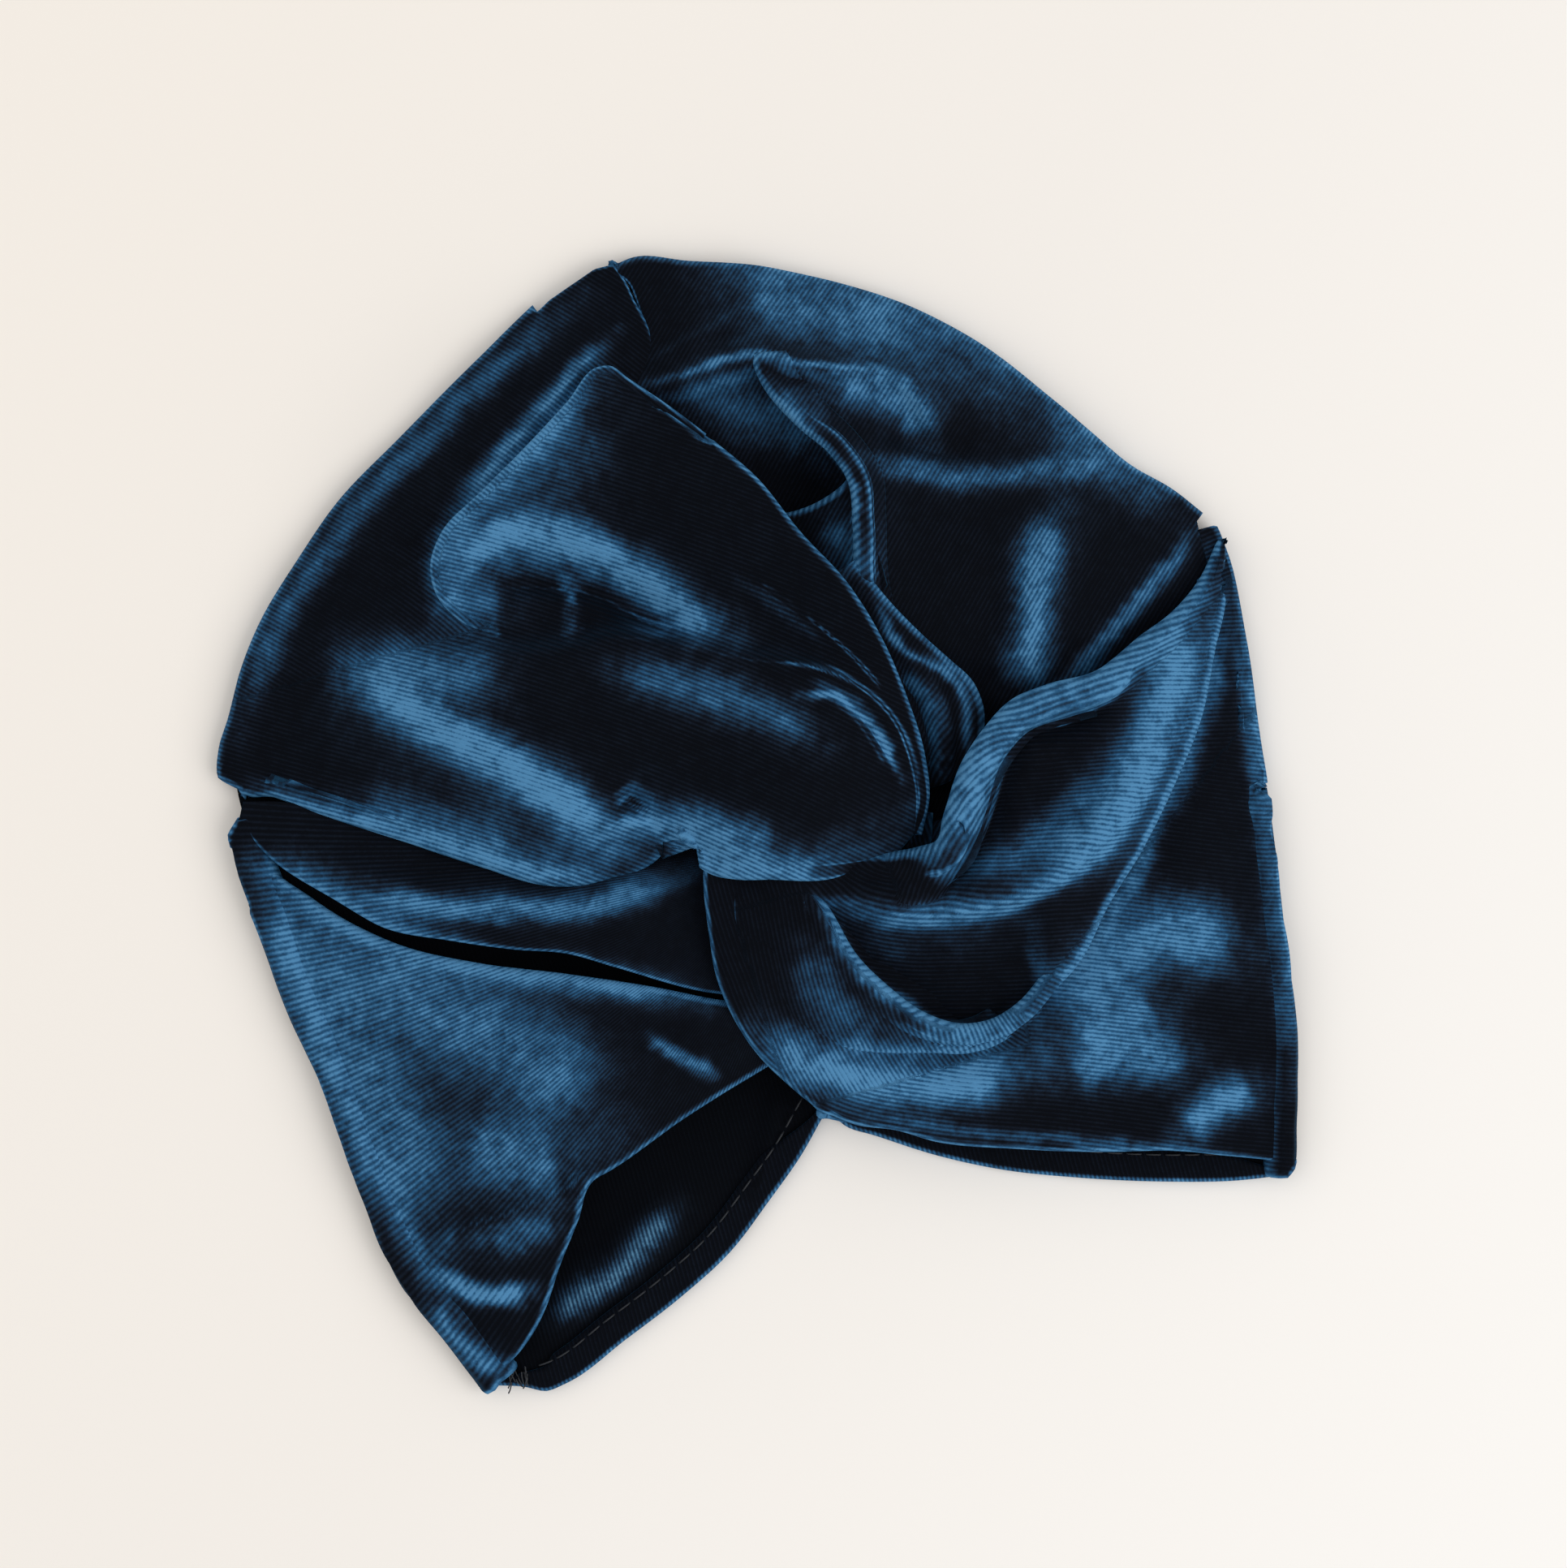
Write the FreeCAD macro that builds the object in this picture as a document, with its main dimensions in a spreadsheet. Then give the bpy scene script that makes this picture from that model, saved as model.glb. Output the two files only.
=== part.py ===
"""A turban-style headwrap of doubled stretch velvet with a knotted front, lying flat with the knot up.

Two wraps, left and right, each go round the side from the back and are hooked into each other at the
front as two links of a chain are. Each wrap has a crown arm and a hem arm, and a turn inside the knot
that joins them. The two halves meet in one seam up the middle of the back and over the crown.

Frame: +X to the wearer's left as it lies (right in plan), +Y from the hem to the crown, +Z up from the
table. The origin is on the table, in the middle of the outline.
"""
import os

import FreeCAD
import Part
import Sketcher
from FreeCAD import Placement, Rotation, Vector

os.makedirs("parts", exist_ok=True)
doc = FreeCAD.newDocument("knotted_headwrap")

# ---------------------------------------------------------------- driving dimensions, in millimetres

sheet = doc.addObject("Spreadsheet::Sheet", "Sizes")
DRIVING = {
    "flat_width": 240,         # side fold to side fold, lying flat
    "flat_length": 250,        # crown fold to the lowest point of the hem
    "velvet_thick": 1.5,       # outer velvet with its pile
    "lining_thick": 1.2,       # the inner layer, whose pile is crushed
    "ply_gap": 0.3,            # air between two layers that lie on each other
    "head_space": 11,          # clear height between back and front, in the middle
    "knot_sag": 3.5,           # how far the left wrap's turn hangs down into it
    "pleat_rise": 8,           # how far the hem arms arch above the head space
    "lobe_rise": 26,           # how far the left crown arm puffs up above the head space
    "fold_rise": 13,           # how far the right hem arm rises above the head space
    "choke_rise": 2,           # how far the right wrap rises where the left one grips it
    "panel_rise": 9,           # how far the right crown arm arches above the head space
    "hem_notch": 46,           # depth of the V in the back hem
    "hem_turn_width": 6,       # velvet turned in along the back hem
    "allowance_width": 7,      # width of the felled centre seam
    "allowance_thick": 0.9,
    "allowance_clear": 8,      # it stops short of the hem turn and of the crown fold
    "stitch_length": 4,
    "stitch_pitch": 7,
    "stitch_radius": 0.35,
    "stitch_inset": 1.5,       # the hem's stitches run this far inside the turn's edge
    "tuck_length": 9,          # folded allowance at the bottom corners
    "tuck_width": 3,
    "tuck_height": 2,
}
for row, (name, value) in enumerate(DRIVING.items(), start=1):
    sheet.set(f"A{row}", name)
    sheet.set(f"B{row}", str(value))
    sheet.setAlias(f"B{row}", name)
doc.recompute()


def size(name):
    """A driving dimension, as the sheet holds it."""
    return float(sheet.get(name))


# ---------------------------------------------------------------- places worked out from them

DRAWN_WIDTH, DRAWN_LENGTH = 240.0, 250.0  # the size at which the outlines below are drawn
WIDE = size("flat_width") / DRAWN_WIDTH
LONG = size("flat_length") / DRAWN_LENGTH
GAP = size("ply_gap")
VELVET = size("velvet_thick")
LINING = size("lining_thick")

LINING_Z = VELVET + GAP                        # underside of the back lining
BACK_TOP = LINING_Z + LINING                   # top of the back
WALL = VELVET + GAP + LINING                   # a doubled wall of the front
RIM_Z = BACK_TOP + GAP + WALL                  # top of the wall where it lies on the back's edge
SPACE_TOP = BACK_TOP + size("head_space")      # the lowest underside of the front, in the middle
LOW = SPACE_TOP + WALL                         # top of a wall that lies straight on the head space
LINK = size("knot_sag")
UNDER = LOW - LINK                             # top of the left wrap's wall below the right wrap
CHOKE = LOW + size("choke_rise")               # top of the right wrap where the left one grips it
LIFTED_RIM_Z = RIM_Z + WALL + GAP              # rim of an arm that lies over its neighbour's edge

CROWN_Y = 124.5                                # the top notch
NOTCH_Y = -DRAWN_LENGTH / 2 + size("hem_notch") / LONG


def at(x, y, z=0.0):
    """A point drawn at x, y on the 240 x 250 outline, at the height z."""
    return Vector(x * WIDE, y * LONG, z)


def spline(points):
    curve = Part.BSplineCurve()
    curve.interpolate(points)
    return curve


# ---------------------------------------------------------------- flat pieces: the back

# The left and the right half of the outline, from the crown seam down to the corner of the hem. The
# break in each is the side notch, where the slit between crown arm and hem arm reaches the fold.
SEAM_TOP = (2, CROWN_Y)
SEAM_FOOT = (-5, NOTCH_Y)
LEFT_UPPER = [SEAM_TOP, (-16, 120), (-58, 97), (-89, 76), (-108, 56), (-118, 40), (-116, 29)]
LEFT_LOWER = [(-116, 29), (-120, 14), (-118, -18), (-114, -60), (-107, -96), (-98, -119)]
RIGHT_UPPER = [SEAM_TOP, (18, 120), (44, 109), (77, 84), (105, 46), (117, 31)]
RIGHT_LOWER = [(117, 31), (120, 21), (116, -21), (109, -69), (101, -107), (97, -120)]
# The back hem, from the foot of the seam out to the corner.
LEFT_HEM = [SEAM_FOOT, (-24, NOTCH_Y - 17), (-50, NOTCH_Y - 33), (-82, NOTCH_Y - 45), (-98, -119)]
RIGHT_HEM = [SEAM_FOOT, (16, NOTCH_Y - 17), (46, NOTCH_Y - 31), (67, NOTCH_Y - 38), (97, -120)]


def flat_piece(name, curves, z, thickness):
    """A cloth piece that lies flat: a sketch of the given curves in a ring, padded by a named thickness."""
    body = doc.addObject("PartDesign::Body", name)
    body.Label = name
    sketch = body.newObject("Sketcher::SketchObject", name + "_outline")
    plane = next(p for p in body.Origin.OriginFeatures if p.Role == "XY_Plane")
    sketch.AttachmentSupport = (plane, "")
    sketch.MapMode = "FlatFace"
    for points in curves:
        points = [at(*point) for point in points]
        if len(points) == 2:
            sketch.addGeometry(Part.LineSegment(*points))
        else:
            sketch.addGeometry(spline(points))
    for index in range(len(curves)):
        sketch.addConstraint(Sketcher.Constraint("Coincident", index, 2, (index + 1) % len(curves), 1))
    pad = body.newObject("PartDesign::Pad", name + "_pad")
    pad.Profile = sketch
    pad.setExpression("Length", f"Sizes.{thickness}")
    body.setExpression("Placement.Base.z", z)
    return body


pieces = []


def back_half(side, upper, lower, hem):
    """Outer velvet, lining and hem turn of one half of the back."""
    sign = -1 if side == "left" else 1
    clear = sign * GAP / 2
    upper = [(SEAM_TOP[0] + clear, SEAM_TOP[1])] + upper[1:]
    hem = [(SEAM_FOOT[0] + clear, SEAM_FOOT[1])] + hem[1:]
    outline = [[hem[0], upper[0]], upper, lower, hem[::-1]]
    pieces.append(flat_piece(f"{side}_back_panel", outline, "0", "velvet_thick"))

    turn = size("hem_turn_width") / LONG
    line = [(x, y + turn) for x, y in hem]
    line[-1] = (hem[-1][0] - sign * 2, hem[-1][1] + turn)
    above = [(x, y + GAP) for x, y in line]
    side_low = [p for p in lower if p[1] > above[-1][1] + 6] + [above[-1]]
    lining = [[above[0], upper[0]], upper, side_low, above[::-1]]
    level = "Sizes.velvet_thick + Sizes.ply_gap"
    pieces.append(flat_piece(f"{side}_back_lining", lining, level, "lining_thick"))
    band = [[hem[0], line[0]], line, [line[-1], hem[-1]], hem[::-1]]
    pieces.append(flat_piece(f"{side}_hem_turn", band, level, "lining_thick"))


back_half("left", LEFT_UPPER, LEFT_LOWER, LEFT_HEM)
back_half("right", RIGHT_UPPER, RIGHT_LOWER, RIGHT_HEM)

# ---------------------------------------------------------------- draped pieces: the front

# A draped piece is a net of rows. Each row runs along the cloth from its root to the knot, and the rows
# go across it from its first edge to its last. A point is (x, y, height), with x and y as on the outline.


def shown(base, rise, share):
    """A height: the given share of a named rise above a base."""
    return base + size(rise) * share


def slack(share):
    """A height on the way up from the rim, at 0, to a wall that lies straight on the head space, at 1."""
    return RIM_Z + (LOW - RIM_Z) * share


def clamped(count):
    """Degree, knots' multiplicities and knots of a curve that starts on its first pole and ends on its last."""
    degree = min(3, count - 1)
    spans = count - degree
    ends = [degree + 1]
    return degree, ends + [1] * (spans - 1) + ends, [float(k) for k in range(spans + 1)]


def let_in(net, depth):
    """The net's poles moved depth millimetres into the cloth, square to it."""
    poles = [[at(*point) for point in row] for row in net]
    last_row, last_run = len(poles) - 1, len(poles[0]) - 1
    moved, outward = [], 0
    for i, row in enumerate(poles):
        line = []
        for j, pole in enumerate(row):
            along = row[min(j + 1, last_run)] - row[max(j - 1, 0)]
            across = poles[min(i + 1, last_row)][j] - poles[max(i - 1, 0)][j]
            square = along.cross(across).normalize()
            outward = outward or (1 if square.z > 0 else -1)
            line.append(pole - square * outward * depth)
        moved.append(line)
    return moved


def patch(poles):
    """The face of the surface that has these poles, cubic wherever there are four or more in a line."""
    row_degree, row_mults, row_knots = clamped(len(poles))
    run_degree, run_mults, run_knots = clamped(len(poles[0]))
    surface = Part.BSplineSurface()
    surface.buildFromPolesMultsKnots(
        poles, row_mults, run_mults, row_knots, run_knots, False, False, row_degree, run_degree)
    return surface.toShape()


def borders(poles):
    """The four edges of a net of poles: its first and last row, and the first and last of its columns."""
    return [poles[0], poles[-1], [row[0] for row in poles], [row[-1] for row in poles]]


def wall(net, drop, thick):
    """A closed solid thick millimetres deep, whose top is drawn by the net, let in by drop.

    The net holds the poles of the surface, so the cloth never swings past them.
    """
    top, bottom = let_in(net, drop), let_in(net, drop + thick)
    faces = [patch(top), patch(bottom)]
    faces += [patch([upper, lower]) for upper, lower in zip(borders(top), borders(bottom))]
    shell = Part.makeShell(faces)
    shell.sewShape()
    solid = Part.makeSolid(Part.Shell(shell.Faces))
    if solid.Volume < 0:
        solid.reverse()
    return solid


def draped_piece(name, net, drop, thick):
    feature = doc.addObject("Part::Feature", name)
    feature.Label = name
    feature.Shape = wall(net, drop, thick)
    feature.Placement = Placement()
    pieces.append(feature)


def doubled_arm(name, net):
    """The outer velvet of an arm and, a ply gap below it, its lining."""
    draped_piece(name, net, 0.0, VELVET)
    draped_piece(name + "_lining", net, VELVET + GAP, LINING)


# Left crown arm, the over leg of the left wrap: from the crown and side fold over two puffs to the tip.
def lobe(share):
    return shown(LOW, "lobe_rise", share)


doubled_arm("left_crown_arm", [
    [(1, 123, RIM_Z), (6, 111, slack(0.4)), (0, 95, LOW), (19, 68, lobe(0.62)),
     (31, 37, lobe(0.72)), (40, 6, lobe(0.62)), (40, -13, lobe(0.4)), (34, -23, lobe(0.25))],
    [(-24, 118, RIM_Z), (-26, 102, slack(0.4)), (-22, 86, lobe(0.4)), (0, 60, lobe(0.75)),
     (18, 28, lobe(0.8)), (29, 4, lobe(0.8)), (31, -11, lobe(0.55)), (32, -29, lobe(0.25))],
    [(-70, 93, RIM_Z), (-66, 78, slack(0.3)), (-53, 66, lobe(-0.1)), (-30, 47, lobe(-0.25)),
     (-2, 28, lobe(0.2)), (16, 3, lobe(0.85)), (22, -13, lobe(0.7)), (26, -33, lobe(0.25))],
    [(-111, 59, RIM_Z), (-98, 50, slack(0.35)), (-80, 42, lobe(0.1)), (-50, 26, lobe(0.8)),
     (-18, 10, lobe(0.95)), (3, -2, lobe(0.9)), (12, -15, lobe(0.65)), (18, -33, lobe(0.25))],
    [(-120, 34, LIFTED_RIM_Z), (-109, 22, slack(0.75)), (-88, 11, slack(0.9)), (-60, -10, lobe(0.05)),
     (-34, -15, lobe(0.05)), (-14, -15, lobe(0.2)), (1, -25, lobe(0.3)), (11, -31, lobe(0.25))],
])


# Right hem arm, the over leg of the right wrap: from the side fold and the front hem to the knot.
def fold(share):
    return shown(LOW, "fold_rise", share)


doubled_arm("right_hem_arm", [
    [(119, 27, LIFTED_RIM_Z), (114, 16, slack(0.7)), (102, 7, fold(0.1)), (80, 0, fold(0.6)),
     (62, 2, fold(1.0)), (53, -7, fold(1.0)), (49, -17, fold(0.65)), (40, -21, CHOKE)],
    [(121, 2, RIM_Z), (108, -6, slack(0.5)), (90, -17, fold(0.45)), (70, -27, fold(0.75)),
     (55, -33, fold(0.8)), (45, -37, fold(0.75)), (37, -41, fold(0.5)), (28, -36, CHOKE)],
    [(112, -47, RIM_Z), (98, -42, slack(0.4)), (82, -47, slack(0.9)), (61, -58, fold(0.3)),
     (42, -66, fold(0.35)), (26, -58, fold(0.4)), (17, -46, fold(0.3)), (10, -33, CHOKE)],
    [(105, -96, RIM_Z), (88, -84, slack(0.55)), (68, -82, slack(0.75)), (44, -80, slack(0.9)),
     (22, -73, LOW), (5, -60, fold(0.25)), (-3, -44, fold(0.35)), (-7, -26, CHOKE)],
    [(96, -120, RIM_Z), (84, -115, LOW - LINK * 1.4), (62, -108, LOW - LINK), (30, -98, slack(0.85)),
     (-2, -85, LOW), (-24, -55, fold(0.35)), (-20, -31, fold(0.3)), (-18, -20, CHOKE)],
])


# Right crown arm, the under leg of the right wrap: from the crown under the left crown arm to the knot.
def panel(share):
    return shown(LOW, "panel_rise", share)


doubled_arm("right_crown_arm", [
    [(3, 123, RIM_Z), (9, 110, slack(0.4)), (-4, 92, slack(0.4)), (12, 66, slack(0.5)),
     (24, 40, slack(0.8)), (32, 18, LOW), (36, 2, CHOKE)],
    [(27, 118, RIM_Z), (28, 106, slack(0.4)), (26, 92, panel(0.1)), (31, 72, panel(0.5)),
     (38, 46, panel(0.9)), (42, 20, panel(0.4)), (39, -1, CHOKE)],
    [(77, 97, RIM_Z), (69, 84, slack(0.45)), (62, 70, slack(0.8)), (54, 52, panel(0.1)),
     (50, 32, panel(0.2)), (47, 12, panel(0.2)), (42, -4, CHOKE)],
    [(100, 49, RIM_Z), (92, 39, slack(0.4)), (82, 32, slack(0.8)), (71, 20, LOW),
     (62, 10, LOW), (53, 0, LOW), (45, -7, CHOKE)],
    [(117, 32, RIM_Z), (108, 14, slack(0.3)), (97, 0, slack(0.4)), (78, -8, slack(0.55)),
     (66, -12, slack(0.75)), (57, -14, slack(0.8)), (48, -12, CHOKE)],
])


# Left hem arm, the under leg of the left wrap: two pleats, and the left front hem.
def pleat(share):
    return shown(LOW, "pleat_rise", share)


doubled_arm("left_hem_arm", [
    [(-119, 27, RIM_Z), (-108, 20, slack(0.35)), (-86, 8, slack(0.5)), (-58, -6, slack(0.75)),
     (-34, -11, slack(0.75)), (-16, -18, LOW - LINK / 2), (-1, -28, UNDER)],
    [(-120, -2, RIM_Z), (-105, -5, slack(0.4)), (-84, -14, slack(0.85)), (-60, -22, pleat(0.2)),
     (-38, -29, pleat(0.15)), (-19, -34, LOW - LINK / 2), (-2, -35, UNDER)],
    [(-115, -50, RIM_Z), (-103, -42, slack(0.5)), (-85, -42, pleat(0.1)), (-62, -43, pleat(0.5)),
     (-40, -44, pleat(0.4)), (-21, -44, LOW - LINK / 2), (-3, -42, UNDER)],
    [(-110, -97, RIM_Z), (-98, -82, slack(0.5)), (-82, -72, slack(0.9)), (-62, -65, pleat(0.3)),
     (-42, -59, pleat(0.3)), (-22, -54, LOW - LINK / 2), (-4, -49, UNDER)],
    [(-98, -118, RIM_Z), (-89, -114, slack(0.5)), (-76, -100, slack(0.65)), (-61, -75, LOW),
     (-30, -71, LOW), (-14, -64, LOW - LINK / 2), (-5, -56, UNDER)],
])

# The turns inside the knot, single and doubled up tight. The left wrap goes over the right one, down
# past its inner edge and back below it. The right wrap turns between the two legs of the left one.
TIP_Z = lobe(0.25) - WALL - GAP
draped_piece("left_knot_turn", [
    [(34, -17, TIP_Z), (37, -18, (TIP_Z + UNDER) / 2), (31, -19, UNDER), (16, -23, UNDER), (0, -28.5, UNDER)],
    [(31, -22, TIP_Z), (34, -24, (TIP_Z + UNDER) / 2), (27, -27, UNDER), (13, -34, UNDER), (-2, -42, UNDER)],
    [(28, -27, TIP_Z), (31, -29, (TIP_Z + UNDER) / 2), (23, -34, UNDER), (10, -45, UNDER), (-4, -55.5, UNDER)],
], 0.0, VELVET)
draped_piece("right_knot_turn", [
    [(-17, -19, CHOKE), (-16, -1, CHOKE), (0, 9, CHOKE), (19, 9, CHOKE), (35.5, 2, CHOKE)],
    [(3, -24, CHOKE), (3, -12, CHOKE), (9, -2, CHOKE), (23, 0, CHOKE), (40, -4, CHOKE)],
    [(22, -30, CHOKE), (18, -22, CHOKE), (19, -12, CHOKE), (29, -9, CHOKE), (45, -10, CHOKE)],
], 0.0, VELVET)

# ---------------------------------------------------------------- seams and stitches


def group(name, solids):
    feature = doc.addObject("Part::Compound", name)
    feature.Label = name
    feature.Links = solids
    pieces.append(feature)


def stitches(name, points):
    """A row of stitches along a curve through the points, each a short rod that lies along it."""
    curve = spline(points)
    length = curve.length()
    count = max(2, int(length / size("stitch_pitch")))
    rods = []
    for index in range(count):
        middle = curve.parameterAtDistance(length * (index + 0.5) / count, curve.FirstParameter)
        along = curve.tangent(middle)[0]
        start = curve.value(middle) - along * size("stitch_length") / 2
        rod = doc.addObject("Part::Cylinder", f"{name}_{index + 1}")
        rod.setExpression("Radius", "Sizes.stitch_radius")
        rod.setExpression("Height", "Sizes.stitch_length")
        rod.Placement = Placement(start, Rotation(Vector(0, 0, 1), along))
        rods.append(rod)
    group(name, rods)


allowance = doc.addObject("Part::Box", "back_seam_allowance")
allowance.Label = "back_seam_allowance"
seam_top, seam_foot = at(*SEAM_TOP), at(*SEAM_FOOT)
seam_run = seam_top - seam_foot
seam_along = Vector(seam_run).normalize()
allowance.Length = seam_run.Length - 2 * size("allowance_clear")
allowance.setExpression("Width", "Sizes.allowance_width")
allowance.setExpression("Height", "Sizes.allowance_thick")
seam_turn = Rotation(Vector(1, 0, 0), seam_along)
across = seam_turn.multVec(Vector(0, 1, 0))
allowance.Placement = Placement(
    seam_foot + seam_along * size("allowance_clear") - across * size("allowance_width") / 2
    + Vector(0, 0, BACK_TOP + GAP),
    seam_turn)
pieces.append(allowance)

STITCH_LIFT = GAP + size("stitch_radius")      # a stitch's middle above the cloth it lies on
thread_z = Vector(0, 0, BACK_TOP + GAP + size("allowance_thick") + STITCH_LIFT)
run_in = seam_along * (size("allowance_clear") + size("stitch_length"))
stitches("back_seam_thread", [
    seam_foot + run_in + thread_z,
    (seam_foot + seam_top) * 0.5 + thread_z,
    seam_top - run_in + thread_z])
for side, hem in (("left", LEFT_HEM), ("right", RIGHT_HEM)):
    rise = (size("hem_turn_width") - size("stitch_inset")) / LONG
    inner = [(x, y + rise) for x, y in hem[:-1]]
    stitches(f"{side}_hem_thread", [at(x, y, BACK_TOP + STITCH_LIFT) for x, y in inner])

# Where the seam comes over the crown its stitches lie in the groove between the two crown arms.
stitches("crown_seam_thread", [at(2, 121, RIM_Z + STITCH_LIFT), at(4.5, 113, slack(0.42)), at(5, 107, slack(0.63))])

# At each bottom corner the allowance is folded over into a small tapered wad, just inside the hem.
for side, x, y, heading in (("left", -88.5, -114.5, -70), ("right", 90, -119, 197)):
    tuck = doc.addObject("Part::Wedge", f"{side}_corner_tuck")
    tuck.Label = f"{side}_corner_tuck"
    for edge, bound in (("Xmin", "0"), ("Xmax", "Sizes.tuck_length"),
                        ("X2min", "Sizes.tuck_length * 0.1"), ("X2max", "Sizes.tuck_length * 0.6"),
                        ("Ymin", "0"), ("Ymax", "Sizes.tuck_height"),
                        ("Zmin", "-Sizes.tuck_width / 2"), ("Zmax", "Sizes.tuck_width / 2"),
                        ("Z2min", "-Sizes.tuck_width / 5"), ("Z2max", "Sizes.tuck_width / 5")):
        tuck.setExpression(edge, bound)
    upright = Rotation(Vector(0, 0, 1), heading).multiply(Rotation(Vector(1, 0, 0), 90))
    tuck.Placement = Placement(at(x, y, BACK_TOP + GAP), upright)
    pieces.append(tuck)

# ---------------------------------------------------------------- check and write

doc.recompute()
for item in doc.Objects:
    bad = [state for state in item.State if state in ("Invalid", "Error")]
    if bad:
        raise RuntimeError(f"{item.Label} is {bad}")
for piece in pieces:
    shape = piece.Shape
    if shape.isNull() or not shape.isValid() or shape.Volume <= 0:
        raise RuntimeError(f"{piece.Label} has no sound shape")
for piece in pieces:
    piece.Shape.exportStep(f"parts/{piece.Label}.step")
    box = piece.Shape.BoundBox
    print(f"{piece.Label}: {len(piece.Shape.Solids)} solids, {piece.Shape.Volume:.0f} mm3, "
          f"z {box.ZMin:.2f} to {box.ZMax:.2f}")
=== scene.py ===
"""A knotted velvet headwrap, lying flat on a pale table with its knot up, seen from straight above.

Each visible stretch of cloth is a fine grid between four border lines, lifted to given heights and
pushed up or down along its creases, with its free edges rolled under. Lengths below are in
millimetres in the headwrap's own frame: x to the right, y towards the crown, z up from the table.
"""
import math

import bpy
import numpy as np
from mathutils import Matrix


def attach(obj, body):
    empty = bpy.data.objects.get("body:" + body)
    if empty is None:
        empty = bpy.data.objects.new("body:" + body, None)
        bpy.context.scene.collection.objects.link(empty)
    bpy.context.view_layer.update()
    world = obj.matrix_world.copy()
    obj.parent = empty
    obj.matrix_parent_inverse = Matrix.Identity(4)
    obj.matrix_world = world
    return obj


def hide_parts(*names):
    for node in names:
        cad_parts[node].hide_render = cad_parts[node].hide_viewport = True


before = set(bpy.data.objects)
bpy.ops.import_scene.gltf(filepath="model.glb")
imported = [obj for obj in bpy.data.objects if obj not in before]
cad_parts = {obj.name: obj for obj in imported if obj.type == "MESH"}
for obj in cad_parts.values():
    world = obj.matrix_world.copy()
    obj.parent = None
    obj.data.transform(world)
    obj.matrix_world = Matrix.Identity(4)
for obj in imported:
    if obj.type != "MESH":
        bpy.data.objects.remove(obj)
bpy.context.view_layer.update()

MM = 0.001
VELVET_THICK = 1.3            # the outer velvet with its pile
LINING_THICK = 1.0            # the inner velvet, whose pile is crushed
LINING_DROP = 1.7             # from the outer velvet's face down to the lining's
OUTLINE_ROLL = 3.0            # radius of the fold round the outline
HEM_ROLL = 1.9                # radius of a hem
RIB_PITCH = 1.0               # from rib to rib of the corded velvet
ROLL_STEPS = 9                # rows of points round a rolled edge
TUCK_STEPS = 3                # rows of points where a rolled edge is tucked back in
ROLL_ROWS = ROLL_STEPS + TUCK_STEPS
TUCK_FADE = 16                # rows over which a tuck fades out towards the ends of its edge
LAP_FADE = 22                 # rows over which a lapped fold comes up at one end and sinks at the other
LAP_SUNK = 1.1                # how far a lapped fold's ends lie below the cloth
DROP_BACK = 3.4               # from a fold's line to where the cloth below it has dropped
DROP_RUN = 3.0                # the run over which that cloth drops
BACK_THICK = 1.2              # velvet pressed flat by the cloth above it
TABLE_GAP = 0.05              # from the table to the back
THREAD_RADIUS = 0.22
FRAY_RADIUS = 0.16
FLOOR = 1.5                   # no face of the front lies lower than this


# ---- lines and grids

def smooth_line(points, count):
    """Points evenly spaced along a smooth curve through the given ones."""
    points = np.array(points, float)
    chord = np.linalg.norm(np.diff(points, axis=0), axis=1)
    knots = np.concatenate([[0.0], np.cumsum(chord)])
    slopes = np.gradient(points, knots, axis=0)
    dense = []
    for index, length in enumerate(chord):
        t = np.linspace(0, 1, 24, endpoint=False)[:, None]
        a, b = points[index], points[index + 1]
        dense.append((2 * t**3 - 3 * t**2 + 1) * a + (t**3 - 2 * t**2 + t) * slopes[index] * length
                     + (3 * t**2 - 2 * t**3) * b + (t**3 - t**2) * slopes[index + 1] * length)
    dense = np.vstack(dense + [points[-1:]])
    run = np.concatenate([[0.0], np.cumsum(np.linalg.norm(np.diff(dense, axis=0), axis=1))])
    places = np.linspace(0, run[-1], count)
    return np.stack([np.interp(places, run, dense[:, axis]) for axis in range(dense.shape[1])], axis=1)


def beside(line, x, y):
    """Each point's distance from a line, above 0 on its left, and its place along it, 0 to 1."""
    path = smooth_line(line, 10 * len(line))
    start, step = path[:-1], np.diff(path, axis=0)
    length = np.linalg.norm(step, axis=1)
    run = np.concatenate([[0.0], np.cumsum(length)])
    flat_x, flat_y = x.ravel(), y.ravel()
    best = np.full(flat_x.shape, np.inf)
    side = np.zeros_like(best)
    place = np.zeros_like(best)
    for index in range(len(step)):
        from_x, from_y = flat_x - start[index, 0], flat_y - start[index, 1]
        along = np.clip((from_x * step[index, 0] + from_y * step[index, 1]) / length[index]**2, 0, 1)
        off_x, off_y = from_x - along * step[index, 0], from_y - along * step[index, 1]
        distance = np.hypot(off_x, off_y)
        nearer = distance < best
        best[nearer] = distance[nearer]
        turn = step[index, 0] * from_y - step[index, 1] * from_x
        side[nearer] = np.where(turn >= 0, 1.0, -1.0)[nearer]
        place[nearer] = ((run[index] + along * length[index]) / run[-1])[nearer]
    return (best * side).reshape(x.shape), place.reshape(x.shape)


def eased(value):
    """0 below 0, 1 above 1, and smooth between."""
    value = np.clip(value, 0, 1)
    return value * value * (3 - 2 * value)


def inset(line, distance, count=160):
    """A line moved sideways by a distance, to its left where that is above 0."""
    path = smooth_line(line, count)
    heading = np.gradient(path, axis=0)
    heading /= np.linalg.norm(heading, axis=1)[:, None]
    return path + distance * np.stack([-heading[:, 1], heading[:, 0]], axis=1)


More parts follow.
